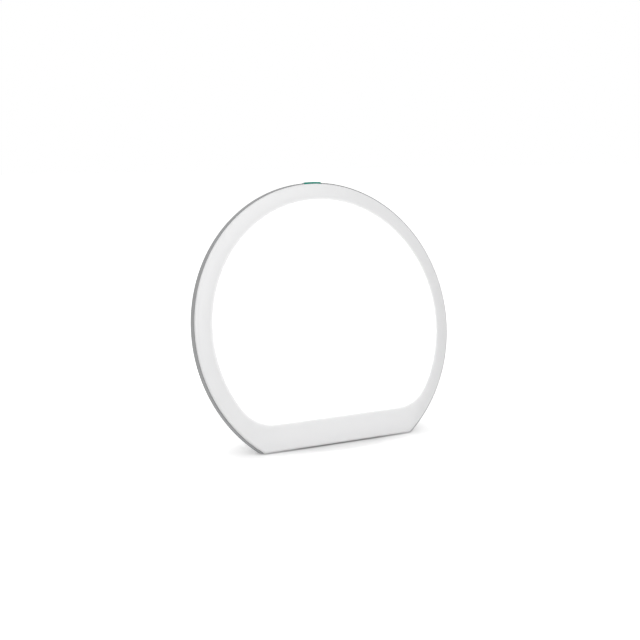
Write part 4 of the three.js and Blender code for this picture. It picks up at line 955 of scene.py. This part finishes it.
# %% Mould the feet
FOOT_LOW, FOOT_HIGH = (24.0, -24.908), (60.0, -17.408)
FOOT_HEIGHT, FOOT_ROUND, FOOT_STEPS = 1.9, 0.5, 20
TABLE = Matrix.Scale(MM, 4)
radius = (FOOT_HIGH[1] - FOOT_LOW[1]) / 2
middle = (FOOT_HIGH[1] + FOOT_LOW[1]) / 2
for label, side in (("right", 1), ("left", -1)):
    bm = bmesh.new()
    ends = []
    for x, z in ((FOOT_HIGH[0] - radius, FOOT_LOW[1]), (FOOT_LOW[0] + radius, FOOT_HIGH[1])):
        start = bm.verts.new((x, z, 0))
        ends.append((start, swing(bm, start, (x, middle, 0), math.pi, FOOT_STEPS, axis=(0, 0, 1))))
    (first_start, first_tip), (last_start, last_tip) = ends
    bm.edges.new((first_tip, last_start))
    bm.edges.new((last_tip, first_start))
    bmesh.ops.edgeloop_fill(bm, edges=bm.edges[:])
    sole_edges = bm.edges[:]
    raised = bmesh.ops.extrude_face_region(bm, geom=bm.faces[:], use_keep_orig=True)
    top = [part for part in raised["geom"] if isinstance(part, bmesh.types.BMVert)]
    bmesh.ops.translate(bm, verts=top, vec=(0, 0, FOOT_HEIGHT))
    bmesh.ops.bevel(bm, geom=sole_edges, offset=FOOT_ROUND, offset_type="OFFSET", segments=4, profile=0.5,
                    affect="EDGES", material=-1)
    bmesh.ops.scale(bm, verts=bm.verts, vec=(side, 1, 1))
    pad = make_piece(bm, f"foot_pad_{label}", TABLE, SHARP_EDGE)
    hand_over(pad, "rubber", "lamp_body", f"base_foot_{label}")

# %% [markdown]
# ## Stage and light
# The photograph shows the lamp on a white sweep, with only a soft shadow under
# it. The floor is pale. To the camera it also gives out a painted glow, weakest
# round the lamp's foot and strongest a few centimetres away. This painted light
# runs the floor into the white backdrop, keeps the lamp's rendered shadow close
# under it and fades that shadow out beyond.

# %% Lay the floor
FLOOR_HALF = 6.0
floor_mesh = bmesh.new()
bmesh.ops.create_grid(floor_mesh, x_segments=1, y_segments=1, size=FLOOR_HALF)
mesh = bpy.data.meshes.new("floor")
floor_mesh.to_mesh(mesh)
floor_mesh.free()
floor = bpy.data.objects.new("floor", mesh)
bpy.context.scene.collection.objects.link(floor)


def seen_directly(tree):
    """1 for rays that show the backdrop itself: camera, mirror and glass rays."""
    path = tree.nodes.new("ShaderNodeLightPath")
    first = add_maths(tree, "MAXIMUM", path.outputs["Is Camera Ray"], path.outputs["Is Glossy Ray"])
    return add_maths(tree, "MAXIMUM", first, path.outputs["Is Transmission Ray"])


FLOOR_NEAR_GLOW, FLOOR_FAR_GLOW = 0.08, 0.75
SHADOW_NEAR, SHADOW_FAR = 0.012, 0.052
SHADOW_SHIFT, SHADOW_SHAPE = (0, 0.03, 0), (0.38, 1, 1)
floor_finish = finish("white_sweep", (0.75, 0.75, 0.75), 0.9, drift=0.0, depth=0.0, specular=0.0)
tree = floor_finish.node_tree
shader = tree.nodes["Principled BSDF"]
place = tree.nodes.new("ShaderNodeTexCoord")
shadow_centre = tree.nodes.new("ShaderNodeMapping")
shadow_centre.inputs["Location"].default_value = SHADOW_SHIFT
shadow_centre.inputs["Scale"].default_value = SHADOW_SHAPE
length = tree.nodes.new("ShaderNodeVectorMath")
length.operation = "LENGTH"
tree.links.new(place.outputs["Object"], shadow_centre.inputs["Vector"])
tree.links.new(shadow_centre.outputs["Vector"], length.inputs[0])
# Painted light on the floor: the glow grows with distance from the lamp's foot, so the rendered shadow fades
# out a few centimetres away.
shadow_fade = tree.nodes.new("ShaderNodeMapRange")
shadow_fade.inputs["From Min"].default_value = SHADOW_NEAR
shadow_fade.inputs["From Max"].default_value = SHADOW_FAR
shadow_fade.inputs["To Min"].default_value = FLOOR_NEAR_GLOW
shadow_fade.inputs["To Max"].default_value = FLOOR_FAR_GLOW
tree.links.new(length.outputs["Value"], shadow_fade.inputs["Value"])
shader.inputs["Emission Color"].default_value = (1, 1, 1, 1)
tree.links.new(add_maths(tree, "MULTIPLY", shadow_fade.outputs["Result"], seen_directly(tree)),
               shader.inputs["Emission Strength"])
floor.data.materials.append(floor_finish)
print("floor laid")

# %% [markdown]
# The light is the even light of a photographer's tent: a bright world, a wide
# lamp in front and above on the left, and a weaker one above on the right.

# %% Light the scene
WORLD_LIGHT = 0.52
world = bpy.data.worlds.new("light_tent")
world.use_nodes = True
bpy.context.scene.world = world
tree = world.node_tree
tent = tree.nodes["Background"]
tent.inputs["Strength"].default_value = WORLD_LIGHT
backdrop = tree.nodes.new("ShaderNodeBackground")
backdrop.inputs["Color"].default_value = (1, 1, 1, 1)
tent.inputs["Color"].default_value = (1, 1, 1, 1)
choose = tree.nodes.new("ShaderNodeMixShader")
tree.links.new(seen_directly(tree), choose.inputs["Fac"])
tree.links.new(tent.outputs["Background"], choose.inputs[1])
tree.links.new(backdrop.outputs["Background"], choose.inputs[2])
tree.links.new(choose.outputs["Shader"], tree.nodes["World Output"].inputs["Surface"])


def add_lamp(name, place, size, power):
    """A wide square lamp that looks at the panel's middle."""
    data = bpy.data.lights.new(name, "AREA")
    data.size = size
    data.energy = power
    lamp = bpy.data.objects.new(name, data)
    lamp.location = place
    lamp.rotation_euler = (PANEL_MIDDLE - Vector(place)).to_track_quat("-Z", "Y").to_euler()
    bpy.context.scene.collection.objects.link(lamp)
    return lamp


add_lamp("key_lamp", (-0.9, -1.1, 1.0), 1.5, 11.4)
add_lamp("fill_lamp", (0.35, -1.0, 1.5), 1.2, 5.5)
bpy.context.scene.view_settings.view_transform = "Standard"
